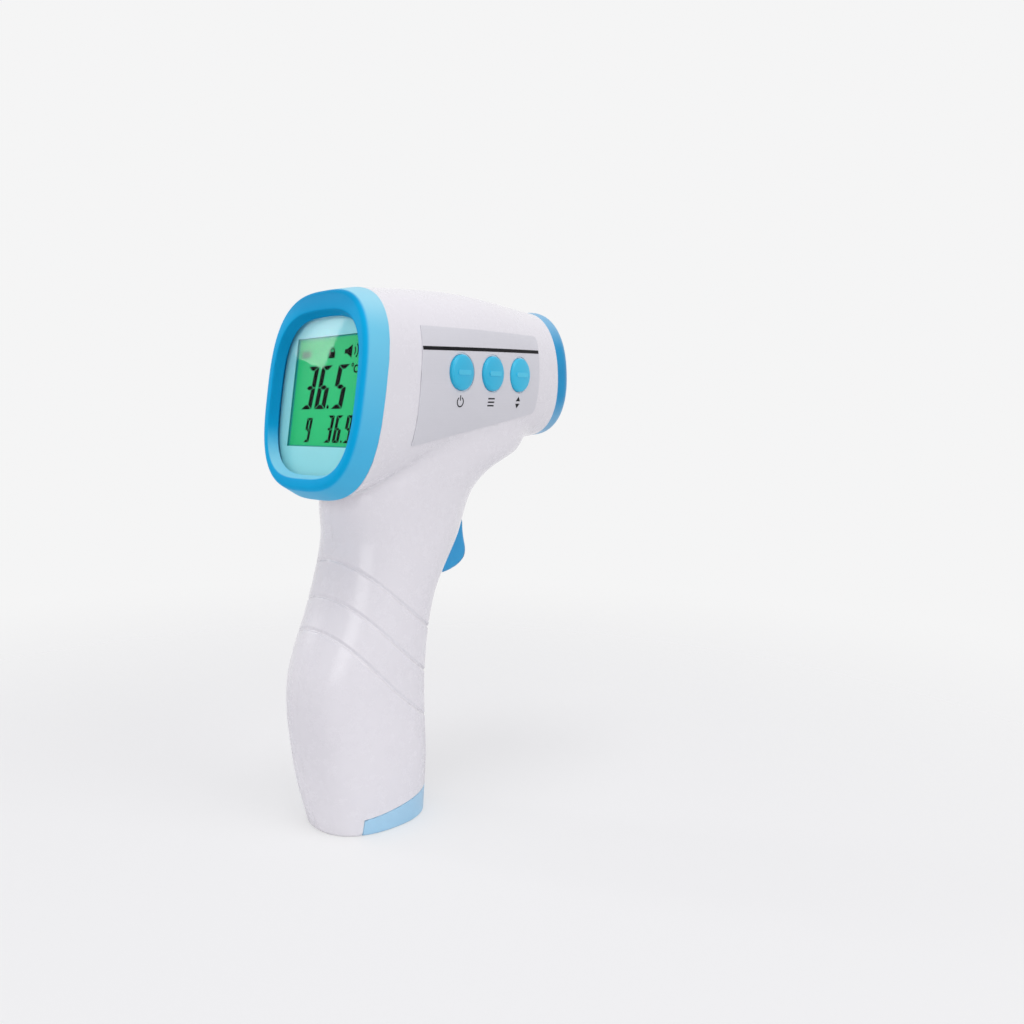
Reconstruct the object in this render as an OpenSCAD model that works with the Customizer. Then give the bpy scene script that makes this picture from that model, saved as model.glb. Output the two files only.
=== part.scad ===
// Pistol-grip non-contact thermometer
// Frame: +X to the nose, +Y to the left, +Z up, origin in the middle of the flat foot

/* [Clearances] */
// Wall of the moulded shells
wall = 2; // [1.6:0.1:2.4]
// Gap round a fixed piece in its seat
seat_gap = 0.15; // [0.1:0.05:0.3]
// Gap between faces that move past each other
run_gap = 0.3; // [0.25:0.05:0.5]
// Radial clearance of a pin in its eye or a cap in its bore
fit_gap = 0.05; // [0.02:0.01:0.1]

/* [Handle] */
// Height of the shoulder, where the handle runs into the barrel
handle_h = 104; // [98:1:126]
// Depth of the flat foot, front to back
foot_depth = 35.2; // [34.4:0.2:44]
// Width of the foot
foot_w = 26.5; // [26:0.5:32]
// Rounding round the edge of the foot
foot_edge = 0.8; // [0.6:0.1:2.4]
// Thickness of the foot's floor
foot_floor = 2.4; // [2:0.1:3]
// Depth at the heel of the hand
heel_depth = 39.4; // [37:0.2:47]
// How far the heel sits behind the middle of the foot
heel_back = 2; // [0:0.2:4]
// Height of the heel
heel_z = 18; // [15:1:22]
// Depth at the palm swell
palm_depth = 40; // [38:0.5:48]
// How far the palm swell sits behind the middle of the foot
palm_back = 3; // [1:0.2:5]
// Height of the palm swell
palm_z = 42; // [36:1:48]
// Width of the grip
grip_w = 32; // [31:0.5:40]
// Depth at the waist, below the trigger
waist_depth = 35; // [33:0.5:42]
// How far the waist sits ahead of the middle of the foot
waist_ahead = 2.7; // [1:0.1:5]
// Depth at the neck, behind the trigger
neck_depth = 40.7; // [39:0.5:49]
// How far the neck sits ahead of the middle of the foot
neck_ahead = 9.5; // [8:0.1:11]
// Depth of the throat, above the trigger
throat_depth = 47.2; // [46:0.2:56]
// How far the throat sits ahead of the middle of the foot
throat_ahead = 12.2; // [11:0.1:14]
// Depth of the flare, between the throat and the shoulder
flare_depth = 52.8; // [51:0.2:58]
// How far the flare sits ahead of the middle of the foot
flare_ahead = 16.9; // [15:0.1:18.4]
// Depth of the shoulder
shoulder_depth = 64; // [60:0.2:72]
// How far the shoulder sits ahead of the middle of the foot
shoulder_ahead = 24.6; // [22:0.2:26]
// Width of the shoulder
shoulder_w = 33; // [31:0.5:37]
// Width of a grip groove
groove_w = 0.9; // [0.6:0.1:1.2]
// Depth of a grip groove
groove_t = 0.45; // [0.3:0.05:0.6]
// Height from one grip groove to the next
groove_pitch = 12.9; // [11:0.1:14]
// Height of the lowest groove above the middle of the foot
groove_z = 38.6; // [36:0.2:42]

/* [Barrel] */
// Length from the display joint to the nose joint
barrel_len = 76; // [70:1:92]
// How far the display joint sits behind the middle of the foot
display_back = 11; // [9:0.5:13]
// Height of the display's centre above the shoulder
display_rise = 15.4; // [14:0.2:18]
// Lean of the display, its top towards the nose
display_tilt = 9.2; // [4:0.2:14]
// Height of the barrel at the display joint
head_h = 55.8; // [54:0.2:66]
// Width of the barrel at the display joint
head_w = 46.2; // [45:0.2:55]
// Height of the barrel at its middle
belly_h = 45.2; // [43:0.2:54]
// Width of the barrel at its middle
belly_w = 40.4; // [39:0.2:48]
// Height of the barrel's middle above the shoulder
belly_rise = 21.4; // [20:0.2:23]
// Height of the barrel at the nose joint
nose_h = 37.8; // [36:0.2:46]
// Width of the barrel at the nose joint
nose_w = 27.8; // [27:0.2:33]
// Height of the nose above the shoulder
nose_rise = 22.1; // [20:0.2:24]
// Upward lean of the nose
nose_tilt = 4.8; // [0:0.2:8]

/* [Display] */
// Depth of the bezel behind the display joint
bezel_depth = 6.2; // [6:0.1:8]
// Rounding of the bezel's outer edge
bezel_edge = 1.4; // [0.8:0.1:1.8]
// How far the bezel's side wall slants in
bezel_draft = 1.7; // [1:0.1:2]
// Width of the opening in the bezel
window_w = 35; // [34:0.5:36]
// Height of the opening in the bezel
window_h = 41.4; // [40:0.2:42]
// How far the opening sits below the bezel's centre
window_drop = 1; // [0:0.1:1.6]
// How far the opening's rim flares out to the bezel's face
window_flare = 1; // [0.4:0.1:1.2]
// How far the window sits in from the bezel's face
window_in = 2.6; // [1.6:0.1:2.8]
// Thickness of the clear window
window_t = 1.2; // [0.8:0.1:1.4]
// Width of the display's visible area
lcd_w = 28; // [24:0.5:29]
// Height of the display's visible area
lcd_h = 29; // [26:0.5:30]
// Thickness of the display glass
lcd_t = 2.2; // [1.8:0.1:2.6]
// Thickness of the main board
board_t = 1.6; // [1:0.1:2]

/* [Nose] */
// Length of the nose ring ahead of the nose joint
ring_len = 7.3; // [6.5:0.1:9]
// Rounding of the nose ring's front
ring_edge = 4.6; // [3:0.1:5]
// Radius of the measuring port
port_r = 6.5; // [6:0.1:7]
// Radius of the sensor can
can_r = 4.55; // [4:0.05:4.7]

/* [Buttons] */
// Diameter of the button caps
button_d = 9.4; // [8:0.2:12]
// Gap between the rims of neighbouring caps
button_gap = 4; // [3:0.1:5]
// How far the middle cap sits behind the nose joint
button_back = 34.9; // [32:0.5:38]
// How far the caps stand out of the flank
button_proud = 0.8; // [0.7:0.1:1.6]
// Travel of a cap
button_travel = 0.6; // [0.4:0.1:0.8]

/* [Label] */
// Length of the side label
label_len = 51.5; // [48:0.5:56]
// Height of the label's top edge above the button row
label_up = 11.5; // [9:0.1:12]
// Depth of the label's rear corner below the button row
label_down = 18.9; // [12:0.1:20]
// How far the label's lower rear corner sits behind its upper one
label_rake = 3; // [0:0.2:4]
// Depth of the label's front corner below the button row
label_down_front = 11; // [9:0.5:13]
// Rounding of the label's front corners
label_corner = 1.6; // [1:0.2:6]
// Thickness of the label film
label_t = 0.25; // [0.2:0.05:0.4]

/* [Trigger] */
// Width of the trigger
trigger_w = 12; // [10:0.5:14.4]
// Height of the part below the pivot
trigger_h = 22.6; // [20:0.2:26]
// How far the finger tip stands ahead of the pivot
trigger_reach = 6.3; // [5:0.1:8]
// Swing of the trigger, in degrees
trigger_swing = 7; // [5:0.5:8]
// Radius of the trigger pin
trigger_pin_r = 1.5; // [1.2:0.1:1.8]

/* [Battery bay] */
// Radius of one cell
cell_r = 5.25; // [5:0.05:5.4]
// Length of one cell with its cap
cell_len = 44.5; // [42:0.5:46]
// Height of the battery door at its hinge end
door_h = 4.6; // [4.4:0.1:6]
// How much higher the door is at its front
door_rise = 4.6; // [0:0.2:6]
// How far the door's hinge end sits behind the middle of the foot
door_back = 11.8; // [11:0.1:12.4]
// Radius of the door's hinge pin
door_pin_r = 0.8; // [0.6:0.05:0.9]

/* [Hidden] */
$fn = 48;

// Colours
white = [0.94, 0.94, 0.95];
blue = [0.03, 0.56, 0.75];
pale_blue = [0.62, 0.80, 0.90];
cyan = [0.50, 0.82, 0.85];
board_green = [0.10, 0.38, 0.20];
steel = [0.72, 0.73, 0.75];
black = [0.08, 0.08, 0.09];

// Curves and lofts
ring_points = 40;

// Slope at station i of the curve through the values v at the places t
function slope(t, v, i) =
    let (before = max(i - 1, 0), after = min(i + 1, len(t) - 1))
    (v[after] - v[before]) / (t[after] - t[before]);

// Value at x of the smooth curve through the values v at the places t
function through(t, v, x) =
    let (
        i = max([for (k = [0 : len(t) - 2]) if (k == 0 || x >= t[k]) k]),
        span = t[i + 1] - t[i],
        s = min(max((x - t[i]) / span, 0), 1)
    )
    (2 * s^3 - 3 * s^2 + 1) * v[i] + (s^3 - 2 * s^2 + s) * span * slope(t, v, i)
    + (3 * s^2 - 2 * s^3) * v[i + 1] + (s^3 - s^2) * span * slope(t, v, i + 1);

// Point at angle a on a superellipse with the half axes p and q
function oval(p, q, power, a) = [
    p * sign(cos(a)) * pow(abs(cos(a)), 2 / power),
    q * sign(sin(a)) * pow(abs(sin(a)), 2 / power)
];

// Closed outline of a superellipse
function oval_outline(p, q, power) =
    [for (k = [0 : ring_points - 1]) oval(p, q, power, 360 * k / ring_points)];

// Smooth path through the points, each span in a number of parts
function smooth_path(points, parts) =
    let (places = [for (i = [0 : len(points) - 1]) i])
    [for (k = [0 : (len(points) - 1) * parts]) through(places, points, k / parts)];

// Solid through rings that have equal numbers of points
module loft(rings) {
    n = len(rings[0]);
    last = (len(rings) - 1) * n;
    sides = [
        for (i = [0 : len(rings) - 2], j = [0 : n - 1])
            let (a = i * n + j, b = i * n + (j + 1) % n)
            each [[a, b + n, b], [a, a + n, b + n]]
    ];
    ends = [[for (j = [0 : n - 1]) j], [for (j = [n - 1 : -1 : 0]) last + j]];
    polyhedron([for (r = rings) each r], concat(sides, ends), convexity = 8);
}

// One solid of its children at their own size
module moulded() resize([0, 0, 0]) union() children();

// Handle
handle_power = 2.3;
handle_top = handle_h + 10;
waist_z = handle_h - 40;
neck_z = handle_h - 24;
throat_z = handle_h - 12;
flare_z = handle_h - 6;
handle_places = [0, heel_z, palm_z, waist_z, neck_z, throat_z, flare_z, handle_h, handle_top];
handle_depths = [foot_depth, heel_depth, palm_depth, waist_depth, neck_depth, throat_depth, flare_depth,
    shoulder_depth, shoulder_depth + 2];
handle_middles = [0, -heel_back, -palm_back, waist_ahead, neck_ahead, throat_ahead, flare_ahead, shoulder_ahead,
    shoulder_ahead + 5];
handle_widths = [foot_w, grip_w - 1, grip_w, grip_w, grip_w, grip_w, (grip_w + shoulder_w) / 2, shoulder_w,
    shoulder_w - 3];

function handle_front(z) =
    through(handle_places, handle_middles, z) + through(handle_places, handle_depths, z) / 2;
function handle_rear(z) =
    through(handle_places, handle_middles, z) - through(handle_places, handle_depths, z) / 2;
function handle_ring(z, inset, points) =
    let (
        middle = through(handle_places, handle_middles, z),
        p = through(handle_places, handle_depths, z) / 2 - inset,
        q = through(handle_places, handle_widths, z) / 2 - inset
    )
    [for (k = [0 : points - 1])
        let (o = oval(p, q, handle_power, 360 * k / points)) [middle + o[0], o[1], z]];

// Outer skin in fine steps with a rounded foot, or a plain inner one in coarse steps
module handle_solid(inset, bottom) {
    inside = inset >= 1;
    points = inside ? 24 : ring_points;
    count = ceil((handle_top - bottom) / (inside ? 12 : 6));
    edge = inside ? [] : [for (a = [0, 35, 65])
        handle_ring(foot_edge * (1 - cos(a)), inset + foot_edge * (1 - sin(a)), points)];
    start = inside ? bottom : foot_edge;
    loft(concat(edge, [for (k = [0 : count])
        handle_ring(start + (handle_top - start) * k / count, inset, points)]));
}
// Bands that fall to the front, cut as shallow grooves round the grip
module grip_grooves() intersection() {
    for (k = [0 : 2]) translate([0, 60, groove_z + k * groove_pitch]) rotate([90, 0, 0]) linear_extrude(120)
        polygon(concat(
            [for (x = [-26 : 6.5 : 26]) [x, groove_fall(x) - groove_w * 0.66]],
            [for (x = [26 : -6.5 : -26]) [x, groove_fall(x) + groove_w * 0.66]]
        ));
    difference() {
        handle_solid(-1, 0);
        handle_solid(groove_t, 0);
    }
}
function groove_fall(x) = x * (0.012 * x - 0.84);

// Barrel
display_x = -display_back;
display_z = handle_h + display_rise;
nose_x = display_x + barrel_len;
nose_z = handle_h + nose_rise;
head_power = 2.9;
nose_power = 2.3;
barrel_places = [0, 0.5, 1];

function barrel_x(t) = display_x + barrel_len * t;
function barrel_z(t) = through(barrel_places, [display_z, handle_h + belly_rise, nose_z], t);
function barrel_tilt(t) = display_tilt - (display_tilt + nose_tilt) * t;
function barrel_half_h(t) = through(barrel_places, [head_h, belly_h, nose_h], t) / 2;
function barrel_half_w(t) = through(barrel_places, [head_w, belly_w, nose_w], t) / 2;
function barrel_power(t) = head_power - (head_power - nose_power) * t;

// Upright ring in the plane x, leaning by tilt about its centre
function upright_ring(x, z, tilt, p, q, power) =
    [for (k = [0 : ring_points - 1])
        let (o = oval(p, q, power, 360 * k / ring_points)) [x + o[0] * sin(tilt), -o[1], z + o[0] * cos(tilt)]];
function barrel_ring(t, inset, slip) =
    let (tilt = barrel_tilt(t))
    upright_ring(barrel_x(t) + slip * cos(tilt), barrel_z(t) - slip * sin(tilt), tilt,
        barrel_half_h(t) - inset, barrel_half_w(t) - inset, barrel_power(t));

barrel_steps = 12;
module barrel_solid(inset) {
    // The inner skin runs straight through both mouths
    inside = inset > 0;
    loft(concat(
        inside ? [barrel_ring(0, inset, -1), barrel_ring(0, inset, 0.4)] : [barrel_ring(0, inset, 0)],
        [for (k = [1 : barrel_steps - 1]) barrel_ring(k / barrel_steps, inset, 0)],
        inside ? [barrel_ring(1, inset, -0.4), barrel_ring(1, inset, 1)] : [barrel_ring(1, inset, 0)]
    ));
}

// Half width of the barrel's flank at a place
function flank(x, z) =
    let (t = (x - display_x) / barrel_len, u = abs(z - barrel_z(t)) / barrel_half_h(t))
    barrel_half_w(t) * pow(1 - pow(u, barrel_power(t)), 1 / barrel_power(t));

module outer_skin(grow = 0) {
    handle_solid(-grow, 0);
    barrel_solid(-grow);
}
module inner_skin() {
    handle_solid(wall, foot_floor);
    barrel_solid(wall);
}

// Frames of the display and the nose: local X along the barrel from the joint, local Z up the joint
module at_display() translate([display_x, 0, display_z]) rotate([0, display_tilt, 0]) children();
module at_nose() translate([nose_x, 0, nose_z]) rotate([0, -nose_tilt, 0]) children();
function display_point(x, y, z) = [
    display_x + x * cos(display_tilt) + z * sin(display_tilt), y,
    display_z - x * sin(display_tilt) + z * cos(display_tilt)
];
function nose_point(x, y, z) = [
    nose_x + x * cos(nose_tilt) - z * sin(nose_tilt), y,
    nose_z + x * sin(nose_tilt) + z * cos(nose_tilt)
];

// Plate in the local YZ plane from x0 to x1 with a superellipse outline
module oval_plate(x0, x1, p, q, power) loft([for (x = [x0, x1]) upright_ring(x, 0, 0, p, q, power)]);
// Box given by its corners
module box(low, high) translate(low) cube(high - low);
// Cylinder along X or Y
module along_x(r, x0, x1) translate([x0, 0, 0]) rotate([0, 90, 0]) cylinder(r = r, h = x1 - x0);
module along_y(r, y0, y1) translate([0, y1, 0]) rotate([90, 0, 0]) cylinder(r = r, h = y1 - y0);

// Case screws: places of their axes in X and Z
screw_r = 1.1;
screw_head_r = 2.1;
screw_head_t = 1.6;
screw_seat = 5;
screw_reach = 7;
boss_r = 3.2;
top_screw_t = 0.46;
front_screw_t = 0.8;
screw_places = [
    [barrel_x(top_screw_t), barrel_z(top_screw_t) + barrel_half_h(top_screw_t) - wall - boss_r - 1],
    [barrel_x(front_screw_t), barrel_z(front_screw_t) - barrel_half_h(front_screw_t) + wall + boss_r + 1],
    [handle_rear(handle_h - 18) + wall + boss_r + 1.4, handle_h - 18],
    [handle_rear(28) + wall + boss_r + 1.6, 28],
    [handle_front(handle_h - 45) - wall - boss_r - 1, handle_h - 45]
];
module at_screws() for (s = screw_places) translate([s[0], 0, s[1]]) children();

// Trigger pivot and slot
pivot_z = handle_h - 13;
pivot_x = handle_front(pivot_z) - wall - 4.7;
eye_r = 3.2;
slot_half = trigger_w / 2 + run_gap;
slot_top = pivot_z - 3.5;
slot_bottom = pivot_z - trigger_h - 1.8;
pin_boss_r = trigger_pin_r + 1.6;
pin_half = slot_half + 4;
module at_pivot() translate([pivot_x, 0, pivot_z]) children();

// Trigger bracket, switch and spring
trigger_back = pivot_x - 7.5;
switch_drop = 11;
switch_z = pivot_z - switch_drop;
spring_z = pivot_z - trigger_h + 3.6;
bracket_t = 1.6;
bracket_x = trigger_back - 13.6;
bracket_half = 9;
bracket_bottom = spring_z - 5;
bracket_top = pivot_z - 2;
switch_board_t = 1.2;
switch_depth = 4.3;
plunger_r = 1.7;
switch_face = bracket_x + bracket_t + switch_board_t + switch_depth;
plunger_out = 1.6;
rib_half = 2.6;
rib_bite = 1;

// Battery bay
door_x = -door_back;
cell_x = -1;
cell_y = cell_r + 0.35;
shelf_z = door_h + door_rise + run_gap;
shelf_t = 1.6;
shelf_top = shelf_z + shelf_t;
cell_bottom = shelf_top + 0.8;
holder_wall = 0.75;
holder_bore = cell_r + 0.2;
holder_r = holder_bore + holder_wall;
holder_roof = cell_bottom + cell_len + 4;
roof_t = 1.5;
hinge_r = 1.5;
knuckle_half = 5.6;
ear_half = 8.6;
ear_bite = 0.3;
// Front end of the door and its top edge, which rises from the hinge end
door_front = foot_depth / 2;
function door_top(x) = door_h + door_rise * (x - door_x) / (door_front + 2 - door_x);
module at_hinge() translate([door_x, 0, hinge_r]) children();
// Space under the door's sloping top edge from x0 forwards
module under_slope(x0, lift) translate([0, 40, 0]) rotate([90, 0, 0]) linear_extrude(80) polygon([
    [x0, -1], [door_front + 2, -1], [door_front + 2, door_top(door_front + 2) + lift], [x0, door_top(x0) + lift]
]);
module stadium(r) {
    for (s = [-1, 1]) translate([cell_x, s * cell_y]) circle(r);
    translate([cell_x - r, -cell_y]) square([2 * r, 2 * cell_y]);
}

// Button row: local X along the flank, local Y inwards from its surface
pitch = button_d + button_gap;
row_x = nose_x - button_back;
row_z = handle_h + 21;
row_turn = atan2(flank(row_x - pitch, row_z) - flank(row_x + pitch, row_z), 2 * pitch);
module at_keys() translate([row_x, -flank(row_x, row_z), row_z]) rotate([0, 0, row_turn]) children();
button_r = button_d / 2;
flange_r = button_r + 0.8;
flange_y = wall + 0.7;
flange_t = 0.8;
stem_y = flange_y + flange_t + 1;
key_face = stem_y + 0.7;
key_depth = 3;
key_board_y = key_face + key_depth;
key_board_t = 1.2;
post_places = [[-pitch / 2, 7.5], [pitch / 2, -7.5]];
post_r = 2.2;
small_screw_r = 0.8;

// Display stack along the local X of the display
window_front = -bezel_depth + window_in;
window_back = window_front + window_t;
holder_front = window_back + 0.2;
lcd_front = holder_front + 0.6;
lcd_back = lcd_front + lcd_t;
board_front = lcd_back + 2.2;
board_back = board_front + board_t;
skirt_len = 1.6;
nose_skirt = 3;
skirt_t = 1.4;
skirt_in = wall + seat_gap;
// Rise of the barrel's underside along the bezel's skirt
skirt_end = skirt_len / barrel_len;
skirt_draft = barrel_z(skirt_end) - barrel_half_h(skirt_end) - (display_z - head_h / 2);
holder_in = skirt_in + skirt_draft + skirt_t + seat_gap;
lcd_up = 0.5;
glass_w = lcd_w + 2.4;
glass_h = lcd_h + 4.4;
board_screw_y = 9;
board_screw_z = head_h / 2 - wall - 5.4;
buzzer_r = 4.5;

// Sensor stack along the local X of the nose
ring_plate = 3;
ear_z = 11.5;
holder_back = -9;
can_front = -4.2;
can_len = 4.2;
sensor_board_x = -11;

// Moulded halves
module shell_fittings() {
    at_screws() along_y(boss_r, -40, 40);
    at_pivot() for (s = [-1, 1]) along_y(pin_boss_r, s > 0 ? slot_half : -40, s > 0 ? 40 : -slot_half);
    // Ribs that hold the trigger bracket
    for (s = [-1, 1]) {
        box([bracket_x + bracket_t / 2 - rib_half, s > 0 ? bracket_half - rib_bite : -40, bracket_bottom - 1.6],
            [bracket_x + bracket_t / 2 + rib_half, s > 0 ? 40 : -bracket_half + rib_bite, bracket_top]);
    }
    // Shelf over the battery door and the wall behind it
    box([door_x - run_gap - 1.6, -40, shelf_z], [40, 40, shelf_top]);
    box([door_x - run_gap - 1.6 - hinge_r, -40, 0], [door_x - run_gap - hinge_r, 40, shelf_top]);
    // Ears of the door hinge
    at_hinge() for (s = [-1, 1]) {
        box([-hinge_r - 2, s > 0 ? knuckle_half + run_gap : -ear_half - ear_bite, -hinge_r],
            [0, s > 0 ? ear_half + ear_bite : -knuckle_half - run_gap, hinge_r]);
        along_y(hinge_r, s > 0 ? knuckle_half + run_gap : -ear_half - ear_bite,
            s > 0 ? ear_half + ear_bite : -knuckle_half - run_gap);
    }
}
module key_posts() at_keys() for (p = post_places) translate([p[0], 0, p[1]]) along_y(post_r, 1.4, key_board_y);

// Room for the battery door, its knuckle and its tongue
tongue_x = handle_front(shelf_z) - wall - 2;
tongue_t = 1.2;
tongue_half = 4;
module door_room() {
    difference() {
        under_slope(door_x - run_gap, run_gap);
        at_hinge() for (s = [-1, 1]) {
            along_y(hinge_r + 0.01, s > 0 ? knuckle_half + run_gap : -ear_half - ear_bite,
                s > 0 ? ear_half + ear_bite : -knuckle_half - run_gap);
            // Side walls run on past the hinge to the door's end, round where the door swings
            along_y(hinge_r, s > 0 ? ear_half : -50, s > 0 ? 50 : -ear_half);
            box([-10, s > 0 ? ear_half : -50, 0], [hinge_r, s > 0 ? 50 : -ear_half, 20]);
            box([-10, s > 0 ? ear_half : -50, -20], [0, s > 0 ? 50 : -ear_half, 0]);
        }
    }
    at_hinge() along_y(hinge_r + run_gap, -knuckle_half - run_gap, knuckle_half + run_gap);
    at_hinge() box([-hinge_r - run_gap, -knuckle_half - run_gap, -5], [0, knuckle_half + run_gap, 0]);
    box([tongue_x - 0.5, -tongue_half - run_gap, 0],
        [tongue_x + tongue_t + 1.6, tongue_half + run_gap, shelf_top + 1]);
    translate([0, 0, shelf_z - 0.1]) linear_extrude(shelf_t + 0.2) stadium(cell_r + 0.3);
}
module shell_half(side) {
    moulded() intersection() {
        difference() {
            union() {
                difference() {
                    outer_skin();
                    inner_skin();
                }
                intersection() {
                    outer_skin();
                    union() {
                        shell_fittings();
                        if (side < 0) key_posts();
                    }
                }
            }
            door_room();
            grip_grooves();
            box([pivot_x - 14, -slot_half, slot_bottom], [pivot_x + 40, slot_half, slot_top]);
            at_pivot() along_y(pin_boss_r + run_gap, -slot_half, slot_half);
            box([bracket_x - 0.05, -bracket_half - 0.05, bracket_bottom],
                [bracket_x + bracket_t + 0.05, bracket_half + 0.05, bracket_top + 1]);
        }
        box([-100, side > 0 ? 0 : -100, -10], [200, side > 0 ? 100 : 0, 300]);
    }
}
module hinge_bores() {
    at_pivot() along_y(trigger_pin_r + fit_gap, -pin_half, pin_half);
    at_hinge() rotate([0, 11, 0]) along_y(door_pin_r + fit_gap, -ear_half - 0.6, ear_half + 0.6);
}

module right_shell() color(white) difference() {
    shell_half(-1);
    hinge_bores();
    at_screws() along_y(screw_r + fit_gap, -screw_reach - 1, 1);
    at_keys() for (k = [-1, 0, 1]) translate([k * pitch, 0, 0]) along_y(button_r + fit_gap, -3, flange_y + 1);
    at_keys() for (p = post_places) translate([p[0], 0, p[1]])
        along_y(small_screw_r + fit_gap, 4, key_board_y + 1);
}

module left_shell() color(white) difference() {
    shell_half(1);
    hinge_bores();
    at_screws() along_y(screw_r + 0.15, -1, screw_seat + 1);
    at_screws() along_y(screw_head_r + 0.3, screw_seat, 40);
}

// Display group
function bezel_ring(x, inset) = upright_ring(x, 0, 0, head_h / 2 - inset, head_w / 2 - inset, head_power);
module window_cut(x0, x1, grow0, grow1) translate([0, 0, -window_drop])
    loft([upright_ring(x0, 0, 0, window_h / 2 + grow0, window_w / 2 + grow0, 3.2),
        upright_ring(x1, 0, 0, window_h / 2 + grow1, window_w / 2 + grow1, 3.2)]);
window_lap = 1.2;

// Band that follows the inside of the barrel's rear mouth
module mouth_band(front, inset) loft([barrel_ring(0, inset, front), barrel_ring(0, inset, 0),
    barrel_ring(skirt_end, inset, 0)]);
module lcd_bezel() color(blue) moulded() difference() {
    union() {
        at_display() loft(concat(
            [for (a = [0, 35, 70])
                bezel_ring(-bezel_depth + bezel_edge * (1 - cos(a)), bezel_draft + bezel_edge * (1 - sin(a)))],
            [bezel_ring(0, 0)]
        ));
        mouth_band(-0.5, skirt_in);
    }
    at_display() window_cut(-bezel_depth - 0.4, window_front + 0.01, window_flare * (1 + 0.4 / window_in), 0);
    at_display() window_cut(window_front, 0, window_lap + seat_gap, window_lap + seat_gap);
    at_display() loft([bezel_ring(window_back, skirt_in + skirt_t), bezel_ring(0.01, skirt_in + skirt_t)]);
    at_display() loft([bezel_ring(0, skirt_in + skirt_t + skirt_draft), bezel_ring(5, skirt_in + skirt_t + skirt_draft)]);
}
module display_window() color([0.85, 0.93, 0.95, 0.35]) at_display()
    window_cut(window_front, window_back, window_lap, window_lap);

module lcd_holder() color(cyan) at_display() difference() {
    oval_plate(holder_front, board_front, head_h / 2 - holder_in, head_w / 2 - holder_in, head_power);
    box([holder_front - 1, -lcd_w / 2, lcd_up - lcd_h / 2], [board_front + 1, lcd_w / 2, lcd_up + lcd_h / 2]);
    box([lcd_front, -glass_w / 2 - seat_gap, lcd_up - glass_h / 2 - seat_gap],
        [board_front + 1, glass_w / 2 + seat_gap, lcd_up + glass_h / 2 + seat_gap]);
    for (y = [-1, 1], z = [-1, 1]) translate([0, y * board_screw_y, z * board_screw_z])
        along_x(small_screw_r + fit_gap, holder_front + 1, board_front + 1);
}
module lcd_panel() color([0.24, 0.72, 0.45]) at_display() {
    // Front glass and the rear glass, which is shorter for the contacts
    box([lcd_front, -glass_w / 2, lcd_up - glass_h / 2],
        [lcd_front + lcd_t / 2, glass_w / 2, lcd_up + glass_h / 2]);
    box([lcd_front + lcd_t / 2, -glass_w / 2, lcd_up - glass_h / 2 + 2],
        [lcd_back, glass_w / 2, lcd_up + glass_h / 2 - 2]);
}
strip_w = 1.6;
module contact_strips() color([0.85, 0.45, 0.55]) at_display() for (s = [-1, 1])
    translate([0, 0, lcd_up + s * (glass_h / 2 - 1)])
        box([lcd_front + lcd_t / 2, -lcd_w / 2, -strip_w / 2], [board_front, lcd_w / 2, strip_w / 2]);
module backlight() color([0.95, 0.97, 0.90]) at_display() {
    box([lcd_back, -lcd_w / 2, lcd_up - lcd_h / 2], [board_front - 0.4, lcd_w / 2, lcd_up + lcd_h / 2]);
    // Feet on the board
    for (y = [-1, 1]) box([board_front - 0.4, y * lcd_w / 2 - (y > 0 ? 2 : 0), lcd_up - lcd_h / 2],
        [board_front, y * lcd_w / 2 + (y > 0 ? 0 : 2), lcd_up + lcd_h / 2]);
}
module main_board() color(board_green) at_display() difference() {
    translate([board_front, 0, 0]) rotate([0, 90, 0]) linear_extrude(board_t)
        polygon(oval_outline(head_h / 2 - holder_in - 0.2, head_w / 2 - holder_in - 0.2, head_power));
    for (y = [-1, 1], z = [-1, 1]) translate([0, y * board_screw_y, z * board_screw_z])
        along_x(small_screw_r + 0.15, board_front - 1, board_back + 1);
}
chip_w = 10;
module controller_chip() color(black) at_display() {
    box([board_back + 0.1, -chip_w / 2, -chip_w / 2], [board_back + 1.5, chip_w / 2, chip_w / 2]);
    // Legs on the four sides
    for (turn = [0 : 90 : 270], k = [-3 : 3]) rotate([turn, 0, 0])
        translate([board_back, k * 1.27 - 0.2, chip_w / 2 - 0.1]) cube([0.7, 0.4, 1.1]);
}
module buzzer() color(black) at_display() translate([0, 9, 11]) difference() {
    along_x(buzzer_r, board_back, board_back + 4);
    along_x(1, board_back + 2, board_back + 5);
}
module pan_screw(r, head, head_t, reach) {
    along_x(r, -reach, 0);
    difference() {
        along_x(head, 0, head_t);
        for (turn = [0, 90]) rotate([turn, 0, 0])
            translate([head_t * 0.5, -head * 0.7, -0.2]) cube([head_t, head * 1.4, 0.4]);
    }
}
module board_screws() color(steel) {
    at_display() for (y = [-1, 1], z = [-1, 1]) translate([board_back, y * board_screw_y, z * board_screw_z])
        pan_screw(small_screw_r, 1.6, 1.1, board_back - holder_front - 1.4);
    at_keys() for (p = post_places) translate([p[0], key_board_y + key_board_t, p[1]])
        rotate([0, 0, 90]) pan_screw(small_screw_r, 1.6, 1.1, key_board_y + key_board_t - 4.4);
}

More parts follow.
